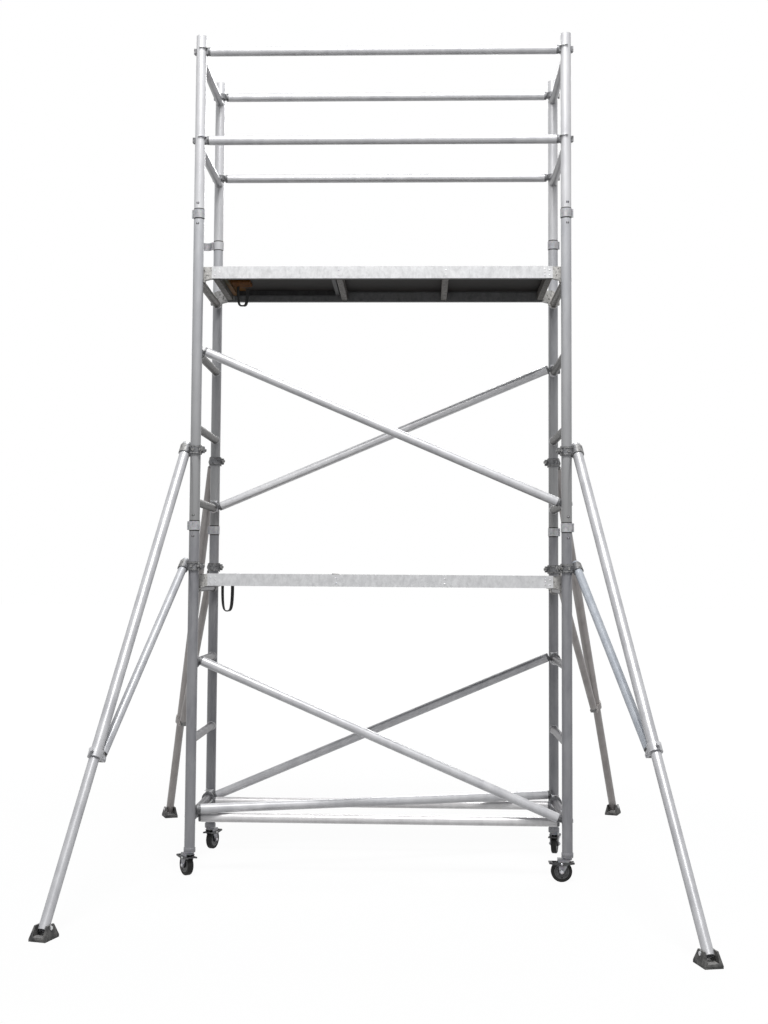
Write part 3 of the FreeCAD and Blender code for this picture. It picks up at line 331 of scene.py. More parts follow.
def board_edge(name):
    """Sawn plywood: the plies show as light and dark stripes."""
    finish = new_finish(name, Metallic=0.0, Specular_IOR_Level=0.1)
    height = axes(finish, object_coordinates(finish))["Z"]
    grain = wood_grain(finish)
    turns = arithmetic(finish, "MULTIPLY", height, 2 * math.pi / PLY_PITCH)
    plies = arithmetic(finish, "SINE", turns)
    striped = mix(finish, plies, (0.13, 0.075, 0.038), (0.30, 0.20, 0.11))
    colour = mix(finish, spread(finish, grain, 0.0, 0.5), striped, (0.10, 0.06, 0.03))
    return cover(finish, colour, spread(finish, grain, 0.5, 0.75), bump(finish, grain, 0.3, 0.0004))


def worn_rubber(name, base, dusty):
    """Black rubber with fine pores and road dust."""
    finish = new_finish(name, Metallic=0.0, Specular_IOR_Level=0.25)
    place = object_coordinates(finish)
    pores = noise(finish, place, scale=1400, detail=2.0)
    dust = noise(finish, place, scale=38, detail=6.0, roughness=0.7)
    settled = black_to_white(finish, dust, 0.42, 0.70)
    dust_colour = (dusty, dusty * 0.97, dusty * 0.92)
    colour = mix(finish, spread(finish, settled, 0.0, 0.8), grey(base), dust_colour)
    return cover(finish, colour, spread(finish, dust, 0.5, 0.8), bump(finish, pores, 0.25, 0.0003))


def moulded_plastic(name, dark, light, roughness=0.42, specular=0.5):
    """Moulded plastic: fine texture with scuffed, paler wear."""
    finish = new_finish(name, Metallic=0.0, Specular_IOR_Level=specular)
    place = object_coordinates(finish)
    texture = noise(finish, place, scale=1100, detail=2.0)
    wear = noise(finish, place, scale=75, detail=6.0, roughness=0.72)
    colour = mix(finish, black_to_white(finish, wear, 0.40, 0.68), dark, light)
    return cover(finish, colour, spread(finish, wear, roughness - 0.08, roughness + 0.14),
                 bump(finish, texture, 0.2, 0.0003))


def strap_webbing(name):
    """Black woven webbing."""
    finish = new_finish(name, Metallic=0.0)
    place = object_coordinates(finish)
    weave = add_node(finish, "TexChecker", {"Vector": place, "Scale": 700.0}).outputs["Fac"]
    fuzz = noise(finish, place, scale=500, detail=4.0)
    threads = mix(finish, weave, grey(0.012), grey(0.034))
    colour = mix(finish, spread(finish, fuzz, 0.0, 0.6), threads, grey(0.06))
    return cover(finish, colour, spread(finish, fuzz, 0.7, 0.9), bump(finish, weave, 0.4, 0.0005))


# ---- camera, light and floor -----------------------------------------------------------
def place_camera():
    """A standing viewer's height, in front of the long side and a little to its right."""
    yaw = math.radians(-2.104)
    pitch = math.radians(3.63)
    roll = math.radians(0.406)
    eye = CENTRE + Vector((0.1911, -6.9193, 1.4270))
    ahead = Vector((math.sin(yaw) * math.cos(pitch), math.cos(yaw) * math.cos(pitch),
                    math.sin(pitch)))
    level = Vector((math.cos(yaw), -math.sin(yaw), 0))
    upright = level.cross(ahead)
    right = level * math.cos(roll) + upright * math.sin(roll)
    up = upright * math.cos(roll) - level * math.sin(roll)
    turn = Matrix((right, up, -ahead)).transposed().to_4x4()
    data = bpy.data.cameras.new("camera")
    data.lens = 48.0
    data.sensor_width = 36.0
    data.shift_x = 0.01435
    data.shift_y = -0.0199
    data.clip_end = 200.0
    camera = bpy.data.objects.new("camera", data)
    camera.matrix_world = Matrix.Translation(eye) @ turn
    bpy.context.scene.collection.objects.link(camera)
    bpy.context.scene.camera = camera


def seen_directly(owner):
    """1 for rays that show the background itself: camera, mirror and glass rays."""
    path = add_node(owner, "LightPath").outputs
    total = path["Is Camera Ray"]
    for ray in ("Is Glossy Ray", "Is Transmission Ray"):
        total = arithmetic(owner, "MAXIMUM", total, path[ray])
    return total


def blend_shaders(owner, share, first, second):
    """Mixes two shaders; the share is the second one's."""
    blend = add_node(owner, "MixShader", {"Fac": share})
    feed(owner, first, blend.inputs[1])
    feed(owner, second, blend.inputs[2])
    return blend.outputs["Shader"]


def light_world():
    """White where it is seen, and a soft cool fill where it lights."""
    world = bpy.data.worlds.new("studio")
    bpy.context.scene.world = world
    world.use_nodes = True
    parts = world.node_tree.nodes
    fill = parts["Background"]
    fill.inputs["Color"].default_value = (0.88, 0.92, 1.0, 1)
    fill.inputs["Strength"].default_value = 0.26
    plain = add_node(world, "Background", {"Color": (1, 1, 1, 1), "Strength": 1.0})
    seen = blend_shaders(world, seen_directly(world), fill.outputs["Background"],
                         plain.outputs["Background"])
    feed(world, seen, parts["World Output"].inputs["Surface"])


def lay_floor():
    """A wide pale floor: near white to the eye, with a faint shadow, and little bounce."""
    shape = bmesh.new()
    bmesh.ops.create_grid(shape, x_segments=1, y_segments=1, size=60.0)
    data = bpy.data.meshes.new("floor")
    shape.to_mesh(data)
    shape.free()
    floor = bpy.data.objects.new("floor", data)
    bpy.context.scene.collection.objects.link(floor)
    finish = new_finish("pale_floor", Roughness=0.9, Base_Color=(0.30, 0.30, 0.30, 1))
    away = add_node(finish, "VectorMath", operation="LENGTH")
    feed(finish, object_coordinates(finish), away.inputs[0])
    strength = spread(finish, away.outputs["Value"], 1.06, 1.115, 2.5, 11.0)
    glow = add_node(finish, "Emission", {"Color": (1, 1, 1, 1), "Strength": strength})
    share = arithmetic(finish, "MULTIPLY", seen_directly(finish), 0.90)
    surface = blend_shaders(finish, share, shader_of(finish).outputs["BSDF"],
                            glow.outputs["Emission"])
    feed(finish, surface, finish.node_tree.nodes["Material Output"].inputs["Surface"])
    data.materials.append(finish)


def hang_lamp(name, place, target, size, power, colour=(1.0, 1.0, 1.0)):
    """A round soft lamp that points at a target."""
    data = bpy.data.lights.new(name, "AREA")
    data.shape = "DISK"
    data.size = size
    data.energy = power
    data.color = colour
    lamp = bpy.data.objects.new(name, data)
    lamp.location = place
    lamp.rotation_euler = (Vector(target) - Vector(place)).to_track_quat("-Z", "Y").to_euler()
    bpy.context.scene.collection.objects.link(lamp)


# ---- making pieces ---------------------------------------------------------------------
NUT_CHAMFER = 0.0008
PIN_CHAMFER = 0.0006


def piece(name, shape, finish, body, smooth=40.0):
    """Makes the object from a finished bmesh and lets it ride on a body."""
    bmesh.ops.remove_doubles(shape, verts=shape.verts, dist=1e-6)
    bmesh.ops.recalc_face_normals(shape, faces=shape.faces)
    data = bpy.data.meshes.new(name)
    shape.to_mesh(data)
    shape.free()
    data.shade_smooth()
    data.set_sharp_from_angle(angle=math.radians(smooth))
    data.materials.append(finish)
    made = bpy.data.objects.new(name, data)
    bpy.context.scene.collection.objects.link(made)
    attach(made, body)
    return made


def facing(place, ahead, up=UP):
    """A frame at a place, with local Z along ahead and local Y as near to up as it goes."""
    z = Vector(ahead).normalized()
    reference = Vector(up)
    if abs(z.dot(reference.normalized())) > 0.99:
        reference = ACROSS
    x = reference.cross(z).normalized()
    y = z.cross(x)
    return Matrix.Translation(Vector(place)) @ Matrix((x, y, z)).transposed().to_4x4()


def made_since(shape, known):
    """The vertices that a shape has gained."""
    return [v for v in shape.verts if v not in known]


def put(shape, known, matrix):
    """Moves what a shape has gained to its place."""
    bmesh.ops.transform(shape, matrix=matrix, verts=made_since(shape, known))


def bevel(shape, edges, width, segments):
    bmesh.ops.bevel(shape, geom=edges, offset=width, offset_type="OFFSET", segments=segments,
                    profile=0.5, affect="EDGES", clamp_overlap=True, material=-1)


def turned(shape, outline, matrix, segments):
    """Spins an outline of (radius, height) points around local Z; ends on the axis close it."""
    known = set(shape.verts)
    points = [shape.verts.new((radius, 0, height)) for radius, height in outline]
    edges = [shape.edges.new(pair) for pair in zip(points, points[1:])]
    bmesh.ops.spin(shape, geom=points + edges, axis=UP, cent=(0, 0, 0), dvec=(0, 0, 0),
                   angle=2 * math.pi, steps=segments, use_merge=True)
    put(shape, known, matrix)


def block(shape, size, matrix, round_off):
    """A box of the given size with rounded edges."""
    known = set(shape.verts)
    made = bmesh.ops.create_cube(shape, size=1.0)["verts"]
    bmesh.ops.scale(shape, vec=size, verts=made)
    bevel(shape, [edge for edge in shape.edges if edge.verts[0] not in known], round_off, 2)
    put(shape, known, matrix)


def dome(shape, size, matrix, segments=16):
    """A pressed rivet or screw head of (radius, height), standing on its own flat foot."""
    radius, height = size
    outline = [(0, height), (radius * 0.5, height * 0.86), (radius * 0.86, height * 0.5),
               (radius, 0)]
    turned(shape, outline, matrix, segments)


def hexagon(shape, radius, height, matrix):
    """A hexagonal nut or bolt head with chamfered corners."""
    known = set(shape.verts)
    bmesh.ops.create_cone(shape, cap_ends=True, segments=6, radius1=radius, radius2=radius,
                          depth=height)
    rims = [edge for edge in shape.edges if edge.verts[0] not in known
            and abs(edge.verts[0].co.z - edge.verts[1].co.z) < 1e-7]
    bevel(shape, rims, NUT_CHAMFER, 1)
    put(shape, known, matrix @ Matrix.Translation((0, 0, height / 2)))


def pin(shape, start, end, radius):
    """A round bar between two points, with chamfered ends."""
    length = (end - start).length
    outline = [(0, 0), (radius - PIN_CHAMFER, 0), (radius, PIN_CHAMFER),
               (radius, length - PIN_CHAMFER), (radius - PIN_CHAMFER, length), (0, length)]
    turned(shape, outline, facing(start, end - start), 20)


def washer(shape, radius, chamfer, matrix):
    """A thick flat washer, closed in the middle where its bolt goes through."""
    outline = [(0.0, 0.0), (radius - chamfer, 0.0), (radius, 0.0006), (radius, 0.0018),
               (0.0, 0.0020)]
    turned(shape, outline, matrix, 28)


# ---- frames ----------------------------------------------------------------------------
WELD_THROAT = 0.0032
WELD_SINK = 0.0006
BUTTON_HEIGHTS = (-0.030, 0.072)         # from a joint: one below it, one above its clip
BUTTON_TURNS = {"left": -0.12, "right": 0.20}    # how far they face along the bay
BUTTON = (0.0046, 0.0036)                # a dome's radius and height
BUTTON_HOLE = [(0.0, 0.0009), (0.0068, 0.0009), (0.0074, 0.0004)]
SEAM_HEIGHTS = (-0.0028, CLIP_HEIGHT + 0.0030)


def weld_bead(shape, x, row, z):
    """A fillet bead where a rung meets its post, shaped to the post's round."""
    inward = 1 if row < CENTRE.y else -1
    profile = [(RUNG_RADIUS + WELD_THROAT * (0.4 + math.cos(t)), WELD_THROAT * math.sin(t))
               for t in (0.0, 0.8, 1.6, 2.4, 3.1)]
    known = set(shape.verts)
    turned(shape, profile, facing((x, row, z), (0, inward, 0)), 32)
    for v in made_since(shape, known):
        depth = math.sqrt(max(POST_RADIUS ** 2 - (v.co.x - x) ** 2, 0.0))
        v.co.y += inward * (depth - WELD_SINK)


def frame_welds():
    shape = bmesh.new()
    for x in (LEFT, RIGHT):
        for row in (FRONT, REAR):
            for z in BASE_RUNGS + UPPER_RUNGS + GUARD_BARS:
                weld_bead(shape, x, row, z)
    piece("frame_welds", shape, weld_metal, "tower")


def joint_buttons():
    """The snap buttons that hold each sleeve, in their holes above and below every joint; each hole
    is a dark disc of painted shade.
    """
    buttons = bmesh.new()
    holes = bmesh.new()
    for corner, (x, y) in CORNERS.items():
        turn = BUTTON_TURNS[corner.split("_")[1]]
        ahead = Vector((turn, -1 if y < CENTRE.y else 1, 0)).normalized()
        skin = Vector((x, y, 0)) + ahead * (POST_RADIUS - 0.0010)
        for joint in (LOWER_JOINT, UPPER_JOINT):
            for height in BUTTON_HEIGHTS:
                seat = facing(skin + UP * (joint + height), ahead)
                turned(holes, BUTTON_HOLE, seat, 24)
                dome(buttons, BUTTON, seat)
    piece("button_holes", holes, seam_dirt_and_shade, "tower")
    piece("joint_buttons", buttons, dull_zinc, "tower")


def joint_seams():
    """Dark lines above and below every interlock clip, where the posts meet: partly dirt in the
    gap, partly painted shade.
    """
    shape = bmesh.new()
    sunk = POST_RADIUS - 0.0010
    skin = POST_RADIUS + 0.0003
    outline = [(sunk, -0.0028), (skin, -0.0024), (skin, 0.0024), (sunk, 0.0028)]
    for x, y in CORNERS.values():
        for joint in (LOWER_JOINT, UPPER_JOINT):
            for height in SEAM_HEIGHTS:
                turned(shape, outline, Matrix.Translation((x, y, joint + height)), 40)
    piece("joint_seams", shape, seam_dirt_and_shade, "tower")


def post_plugs():
    """Moulded plugs in the open tops of the guard posts."""
    shape = bmesh.new()
    bore = POST_RADIUS - 0.0032
    outline = [(0, -0.0012), (bore * 0.55, -0.0014), (bore * 0.80, -0.0030), (bore, -0.0030),
               (bore, -0.022)]
    for x, y in CORNERS.values():
        turned(shape, outline, Matrix.Translation((x, y, POST_TOP)), 32)
    piece("post_plugs", shape, grey_plastic, "tower")


# ---- braces ----------------------------------------------------------------------------
DIAGONAL_SLOT = 0.2806          # from the middle of a rung to a diagonal's claw
RAIL_SLOT = 0.2386              # and to a base rail's claw
RIVET = (0.0042, 0.0022)
SMALL_RIVET = (0.0036, 0.0020)
TUBE_RIVET = (0.0038, 0.0018)
TUBE_RIVET_INSET = 0.025
TRIGGER_PLATE = (0.013, 0.034, 0.0028)
TRIGGER_LIP = (0.013, 0.0075, 0.0026)
TRIGGER_CHEEK = (0.0022, 0.012, 0.011)
TRIGGER_PIN_HALF = 0.0086


def claw_trigger(shape, place, heading):
    """The thumb lever of a claw: a bent plate on a cross pin, above the casting."""
    across = UP.cross(heading)
    plate = place + UP * 0.0365 + heading * 0.004
    block(shape, TRIGGER_PLATE, facing(plate, UP, heading), 0.0010)
    lip = place + UP * 0.0395 - heading * 0.015
    block(shape, TRIGGER_LIP, facing(lip, UP - heading * 0.6, heading), 0.0008)
    for side in (-1, 1):
        cheek = place + UP * 0.0320 + heading * 0.012 + across * (side * 0.0056)
        block(shape, TRIGGER_CHEEK, facing(cheek, UP, heading), 0.0007)
    centre = place + UP * 0.0330 + heading * 0.012
    pin(shape, centre - across * TRIGGER_PIN_HALF, centre + across * TRIGGER_PIN_HALF, 0.0022)


def claw_triggers():
    """Triggers on the claws of the four diagonals and the two base rails."""
    shape = bmesh.new()
    for x, heading in ((LEFT, ALONG), (RIGHT, -ALONG)):
        for row in (-1, 1):
            rung = 0 if (row > 0) == (x == LEFT) else 2
            for slot, z in ((DIAGONAL_SLOT, UPPER_RUNGS[rung]), (DIAGONAL_SLOT, BASE_RUNGS[rung]),
                            (RAIL_SLOT, BASE_RUNGS[0])):
                claw_trigger(shape, Vector((x, CENTRE.y + row * slot, z)), heading)
    piece("claw_triggers", shape, bright_zinc, "tower")


def rail_rivets():
    """The rivets that hold each guardrail's claws in its tube."""
    shape = bmesh.new()
    for row, y in (("front", FRONT), ("rear", REAR)):
        low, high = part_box("guardrails_" + row)
        for z in (low.z + BRACE_RADIUS, high.z - BRACE_RADIUS):
            for x in (low.x + TUBE_RIVET_INSET, high.x - TUBE_RIVET_INSET):
                for ahead in (-ACROSS, ACROSS):
                    seat = Vector((x, y, z)) + ahead * (BRACE_RADIUS - HAIR)
                    dome(shape, TUBE_RIVET, facing(seat, ahead), 12)
    piece("rail_rivets", shape, bright_zinc, "tower")


# ---- platforms -------------------------------------------------------------------------
MEMBER_PLACES = (-0.823, -0.210, 0.315, 0.823)   # of the cross members, along the bay
HOOK_PLACES = (-0.800, 0.800)
SCREW = (0.0048, 0.0010)
HINGE_SCREW = (0.0042, 0.0010)
SCREWS_ALONG = 7
SCREWS_START = -0.190           # from the middle of the bay
SCREW_INSET = 0.022             # from a board's end
SCREW_SIDE_INSET = 0.014
SCREW_ROWS = (-0.13, 0.0, 0.13)
END_SCREW_INSET = 0.015
HINGE_SCREW_ROWS = (-0.20, -0.10, 0.0, 0.10, 0.20)
PULL_INSET = 0.070              # from the trapdoor's free end
PULL_CUP = [(0.0, -0.0020), (0.018, -0.0020), (0.021, 0.0006), (0.028, 0.0010),
            (0.0300, -0.0004)]
RING_RADIUS = 0.0135
RING_WIRE_RADIUS = 0.0018
RING_SIDES = 10


def beam_rivets():
    """Rivets through the side beams at each cross member and at the hooks."""
    shape = bmesh.new()
    patterns = ((MEMBER_PLACES, (0.020, 0.044), RIVET),
                (HOOK_PLACES, (0.014, 0.030, 0.046), SMALL_RIVET))
    for level in LEVELS:
        low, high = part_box("platform_" + level + "_frame")
        for places, drops, size in patterns:
            for along in places:
                for drop in drops:
                    for y, ahead in ((low.y, -1), (high.y, 1)):
                        seat = Vector((CENTRE.x + along, y - ahead * HAIR, DECK_TOPS[level] - drop))
                        dome(shape, size, facing(seat, (0, ahead, 0)), 14)
    piece("beam_rivets", shape, bright_zinc, "tower")


def deck_screws():
    """Countersunk screws round the fixed boards."""
    shape = bmesh.new()
    for level in LEVELS:
        low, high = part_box("platform_" + level + "_boards")
        start = CENTRE.x + SCREWS_START
        reach = high.x - SCREW_INSET - start
        spots = [(start + step * reach / (SCREWS_ALONG - 1), y)
                 for y in (low.y + SCREW_SIDE_INSET, high.y - SCREW_SIDE_INSET)
                 for step in range(SCREWS_ALONG)]
        spots += [(x, CENTRE.y + y) for y in SCREW_ROWS
                  for x in (high.x - END_SCREW_INSET, CENTRE.x + MEMBER_PLACES[2])]
        for spot in spots:
            dome(shape, SCREW, facing((*spot, high.z - SCREW_SINK), UP), 14)
    piece("deck_screws", shape, bright_zinc, "tower")


def hatch_fittings(level):
    """The recessed ring pull and the hinge screws of a trapdoor."""
    body = "platform_" + level + "_trapdoor"
    low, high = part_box("platform_" + level + "_hatch")
    top = DECK_TOPS[level]
    middle = Vector((low.x + PULL_INSET, CENTRE.y, top))
    shape = bmesh.new()
    turned(shape, PULL_CUP, Matrix.Translation(middle), 40)
    for y in HINGE_SCREW_ROWS:
        spot = (high.x - SCREW_INSET, CENTRE.y + y, top - SCREW_SINK)
        dome(shape, HINGE_SCREW, facing(spot, UP), 14)
    piece("hatch_fittings_" + level, shape, bright_zinc, body)
    ring = bmesh.new()
    angles = [2 * math.pi * k / RING_SIDES for k in range(RING_SIDES + 1)]
    wire = [(RING_RADIUS + RING_WIRE_RADIUS * math.cos(a), RING_WIRE_RADIUS * math.sin(a))
            for a in angles]
    turned(ring, wire, Matrix.Translation(middle + UP * 0.0002), 36)
    piece("hatch_ring_" + level, ring, bright_zinc, body)


# Webbing folded along its middle, as a section across the strap.
FOLDED_WEBBING = [(0.0, 0.0), (0.0028, 0.0045), (0.0016, 0.0105), (-0.0016, 0.0105),
                  (-0.0028, 0.0045), (-0.0034, -0.0060), (0.0, -0.0085), (0.0034, -0.0060)]
WEBBING_REACH = 0.0035          # of that section, out from the strap's middle line
LOOP_STEPS = 44


def webbing_loop(level, finish):
    """The pull strap: a length of webbing folded along its middle and hung as a loop."""
    node = "platform_" + level + "_strap"
    low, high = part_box(node)
    middle = (low + high) / 2
    half = (high.x - low.x) / 2 - WEBBING_REACH
    foot = low.z + WEBBING_REACH
    shape = bmesh.new()
    behind = None
    previous = None
    for k in range(LOOP_STEPS + 1):
        t = -1 + 2 * k / LOOP_STEPS
        angle = math.pi / 2 * t
        bulge = math.sin(angle) * (1.0 - 0.16 * max(abs(t) - 0.45, 0.0))
        height = foot + (high.z - foot) * (1 - math.cos(angle)) ** 1.7
        spot = Vector((middle.x + half * bulge, middle.y, height))
        if previous is not None:
            twist = 0.5 * math.sin(2.2 * t) + 0.35 * t
            turn = facing(previous, spot - previous, (math.sin(twist), math.cos(twist), 0))
            ring = [shape.verts.new(turn @ Vector((*point, 0))) for point in FOLDED_WEBBING]
            edges = [shape.edges.new(pair) for pair in zip(ring, ring[1:] + ring[:1])]
            if behind is None:
                shape.faces.new(ring)
            else:
                bmesh.ops.bridge_loops(shape, edges=behind + edges)
            behind = edges
        previous = spot
    bmesh.ops.holes_fill(shape, edges=behind, sides=0)
    loop = piece("pull_strap_" + level, shape, finish, "platform_" + level + "_trapdoor",
                 60.0)
    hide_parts(node)


# ---- castors ---------------------------------------------------------------------------
HUB_SIDE = [(0.0135, 0.0), (0.0160, 0.0030), (0.0280, 0.0020), (0.0305, 0.0046),
            (0.0350, 0.0046), (0.0372, 0.0)]
HUB_RIB = (0.0034, 0.0170, 0.0070)
HUB_RIBS = 6
TREAD_LINE = [(0.04940, -0.0008), (0.04995, -0.0004), (0.04995, 0.0004), (0.04940, 0.0008)]
TREAD_PLACES = (-0.0075, 0.0, 0.0075)
COLLAR = [(POST_RADIUS + out, height) for out, height in (
    (-0.001, 0.0), (0.0022, 0.0), (0.0030, 0.0012), (0.0030, 0.0150), (0.0018, 0.0170),
    (-0.001, 0.0170))]
COLLAR_HEIGHT = 0.1200
SPACER = [(0.0250, 0.0), (0.0275, 0.0008), (0.0275, 0.0052), (0.0250, 0.0060)]
SPACER_HEIGHT = 0.1138
HUB_RIB_TURN = 14               # degrees of the first rib from the trail
NUT_FACE = 0.0225               # along the axle from the wheel's middle
HUB_FACE = 0.0094
PEDAL_MIDDLE = 0.028            # along the trail from the post's axis
GRIP_START = 0.0475             # and from there to the first rib of a pad
GRIP_RIB = (0.0014, 0.0440, 0.0012)
GRIP_RIBS = 4
GRIP_PITCH = 0.0034


def castor_details(corner):
    """Axle nuts, hub ribs, tread lines, the collar at the post's foot and the pedal's grip."""
    name = "castor_" + corner
    low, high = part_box(name + "_wheel")
    centre = (low + high) / 2
    foot = Vector((*CORNERS[corner], 0))
    trail = Vector((centre.x - foot.x, centre.y - foot.y, 0)).normalized()
    axle = UP.cross(trail)
    nuts = bmesh.new()
    hub = bmesh.new()
    for outside in (-axle, axle):
        hexagon(nuts, 0.0085, 0.0050, facing(centre + outside * NUT_FACE, outside))
        pin(nuts, centre + outside * 0.0270, centre + outside * 0.0300, 0.0046)
        pivot = centre + UP * 0.036 + outside * 0.0251
        dome(nuts, (0.0055, 0.0026), facing(pivot, outside))
        turned(hub, HUB_SIDE, facing(centre + outside * HUB_FACE, outside), 48)
        for k in range(HUB_RIBS):
            angle = math.radians(360 / HUB_RIBS * k + HUB_RIB_TURN)
            radial = trail * math.cos(angle) + UP * math.sin(angle)
            spot = centre + outside * 0.0085 + radial * 0.0235
            block(hub, HUB_RIB, facing(spot, outside, radial), 0.0008)
    piece(name + "_nuts", nuts, bright_zinc, name + "_fork")
    piece(name + "_hub_ribs", hub, hub_plastic, name + "_wheel")
    tread = bmesh.new()
    for offset in TREAD_PLACES:
        turned(tread, TREAD_LINE, facing(centre + axle * offset, axle), 64)
    piece(name + "_tread_lines", tread, wheel_rubber, name + "_wheel")
    collar = bmesh.new()
    turned(collar, COLLAR, Matrix.Translation(foot + UP * COLLAR_HEIGHT), 40)
    piece(name + "_collar", collar, post_tube["base"], "tower")
    spacer = bmesh.new()
    turned(spacer, SPACER, Matrix.Translation(foot + UP * SPACER_HEIGHT), 40)
    piece(name + "_washer", spacer, pale_plastic, "tower")
    grips = bmesh.new()
    middle = foot + UP * (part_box(name + "_brake")[1].z + 0.0003) + trail * PEDAL_MIDDLE
    for toe in (-trail, trail):
        for step in range(GRIP_RIBS):
            spot = middle + toe * (GRIP_START + GRIP_PITCH * step)
            block(grips, GRIP_RIB, facing(spot, UP, axle), 0.0004)
    piece(name + "_pedal_grip", grips, pedal_plastic, name + "_brake")


# ---- stabilisers -----------------------------------------------------------------------
# Degrees outward from square to the tower's long side.
HEADINGS = {"front_left": 15.5, "front_right": 13.0, "rear_left": 22.0, "rear_right": 21.0}
HOLLOW_RIVET = [(0.0, 0.0022), (0.0032, 0.0022), (0.0050, 0.0034), (0.0068, 0.0030), (0.0078, 0.0)]
COUPLER_RIM = [(POST_RADIUS + out, height) for out, height in (
    (0.0008, -0.0010), (COUPLER_WALL + 0.0012, -0.0016), (COUPLER_WALL + 0.0018, 0.0),
    (COUPLER_WALL + 0.0012, 0.0016), (0.0008, 0.0010))]
BOLT_OFFSET = 0.037             # of a coupler's bolt, from the post's axis
BOLT_REACH = 0.0232
COUPLER_NUT_RADIUS = 0.0098
WING = (0.0065, 0.0170, 0.0042)
WING_OFFSET = 0.0150
RIVET_SINK = 0.0006
RIM_OFFSET = 0.0160             # of a coupler's two rims, from its middle
SOLE_RIB = (0.0042, 0.0016, 0.0085)
SOLE_RIBS = 9
SOLE_RIB_PITCH = 0.011
SOLE_RIB_HEIGHT = 0.0050
SOLE_HALF_WIDTH = 0.0372


def stabiliser_axes(corner):
    """Where its post stands, the direction that it reaches in, and the side of its bolts."""
    sx = -1 if "left" in corner else 1
    sy = -1 if "front" in corner else 1
    angle = math.radians(HEADINGS[corner])
    ahead = Vector((sx * math.sin(angle), sy * math.cos(angle), 0))
    return Vector((*CORNERS[corner], 0)), ahead, UP.cross(ahead) * (sx * sy)


def coupler_details(corner):
    """The bolts, wing nuts, rivets and rims on the two couplers of a stabiliser."""
    post, ahead, aside = stabiliser_axes(corner)
    bolts = bmesh.new()
    rims = bmesh.new()
    for pivot_height in (ARM_PIVOT_HEIGHT, STRUT_PIVOT_HEIGHT):
        middle = post + UP * pivot_height
        centre = middle + aside * BOLT_OFFSET
        end = centre + ahead * BOLT_REACH
        washer(bolts, 0.0118, 0.0006, facing(end - ahead * 0.0120, ahead))
        hexagon(bolts, COUPLER_NUT_RADIUS, 0.0085, facing(end - ahead * 0.0095, ahead))
        pin(bolts, end - ahead * 0.002, end + ahead * 0.012, 0.0052)
        hexagon(bolts, COUPLER_NUT_RADIUS, 0.0065, facing(centre - ahead * 0.0235, -ahead))
        for wing in (-WING_OFFSET, WING_OFFSET):
            spot = end + ahead * 0.003 + UP * wing
            block(bolts, WING, facing(spot, ahead, UP), 0.0018)
        face = middle + ahead * (POST_RADIUS + COUPLER_WALL - RIVET_SINK)
        turned(bolts, HOLLOW_RIVET, facing(face, ahead), 20)
        for edge in (-RIM_OFFSET, RIM_OFFSET):
            turned(rims, COUPLER_RIM, Matrix.Translation(middle + UP * edge), 40)
    piece("coupler_bolts_" + corner, bolts, grey_casting, "stabiliser_" + corner)
    piece("coupler_rims_" + corner, rims, grey_casting, "stabiliser_" + corner)


def foot_details(corner):
    """The bolt head, nut and washers of an ankle, and grip ribs around the sole."""
    body = "stabiliser_" + corner + "_foot"
    ahead, aside = stabiliser_axes(corner)[1:]
    centre = mean_place(body)
    ankle = Vector((centre.x, centre.y, ANKLE_HEIGHT))
    bolt = bmesh.new()
    ribs = bmesh.new()
    for outside in (-aside, aside):
        washer(bolt, 0.0120, 0.0005, facing(ankle + outside * 0.0275, outside))
        hexagon(bolt, 0.0092, 0.0058, facing(ankle + outside * 0.0292, outside))
        for step in range(SOLE_RIBS):
            along = (step - (SOLE_RIBS - 1) / 2) * SOLE_RIB_PITCH
            spot = ankle + ahead * along + outside * SOLE_HALF_WIDTH
            spot.z = SOLE_RIB_HEIGHT
            block(ribs, SOLE_RIB, facing(spot, UP, outside), 0.0006)
    piece("ankle_bolt_" + corner, bolt, bright_zinc, body)
    piece("foot_ribs_" + corner, ribs, foot_rubber, body)


# ---- finishes used ---------------------------------------------------------------------
# The posts of the three frames are one aluminium, toned darker low down and paler high up, as
# painted shade and light.
post_tube = {
    "base": drawn_aluminium("base_post_tube", UP, 0.285, 0.22),
    "upper": drawn_aluminium("upper_post_tube", UP, 0.51, 0.43, -0.006, painted_shade_below=UPPER_JOINT),
    "guard": drawn_aluminium("guard_post_tube", UP, 0.64, 0.55),
}
rung_tube = {
    "base": drawn_aluminium("base_rung_tube", ACROSS, 0.135, 0.09, 0.004, 0.3),
    # Painted shade: the upper rungs are toned dark for the shade under the upper platform and on
    # their undersides.
    "upper": cast_metal("upper_rung_tube", (0.060, 0.058, 0.056), (0.155, 0.152, 0.148),
                        rubbing_and_highlight=0.35),
    "guard": drawn_aluminium("guard_rung_tube", ACROSS, 0.40, 0.32),
}
# Painted shade: the rung under the upper platform is toned dark for the platform's shadow.
shadowed_rung = cast_metal("shadowed_rung", (0.050, 0.046, 0.042), (0.17, 0.16, 0.148),
                            rubbing_and_highlight=0.5)
long_tube = drawn_aluminium("long_tube", ALONG, 0.60, 0.50)
# Painted light: the base rails are toned paler than the guardrails, standing in for light that the
# platforms keep off them.
base_tube = drawn_aluminium("base_tube", ALONG, 0.76, 0.64, 0.012)
beam_section = extruded_aluminium("beam_section")
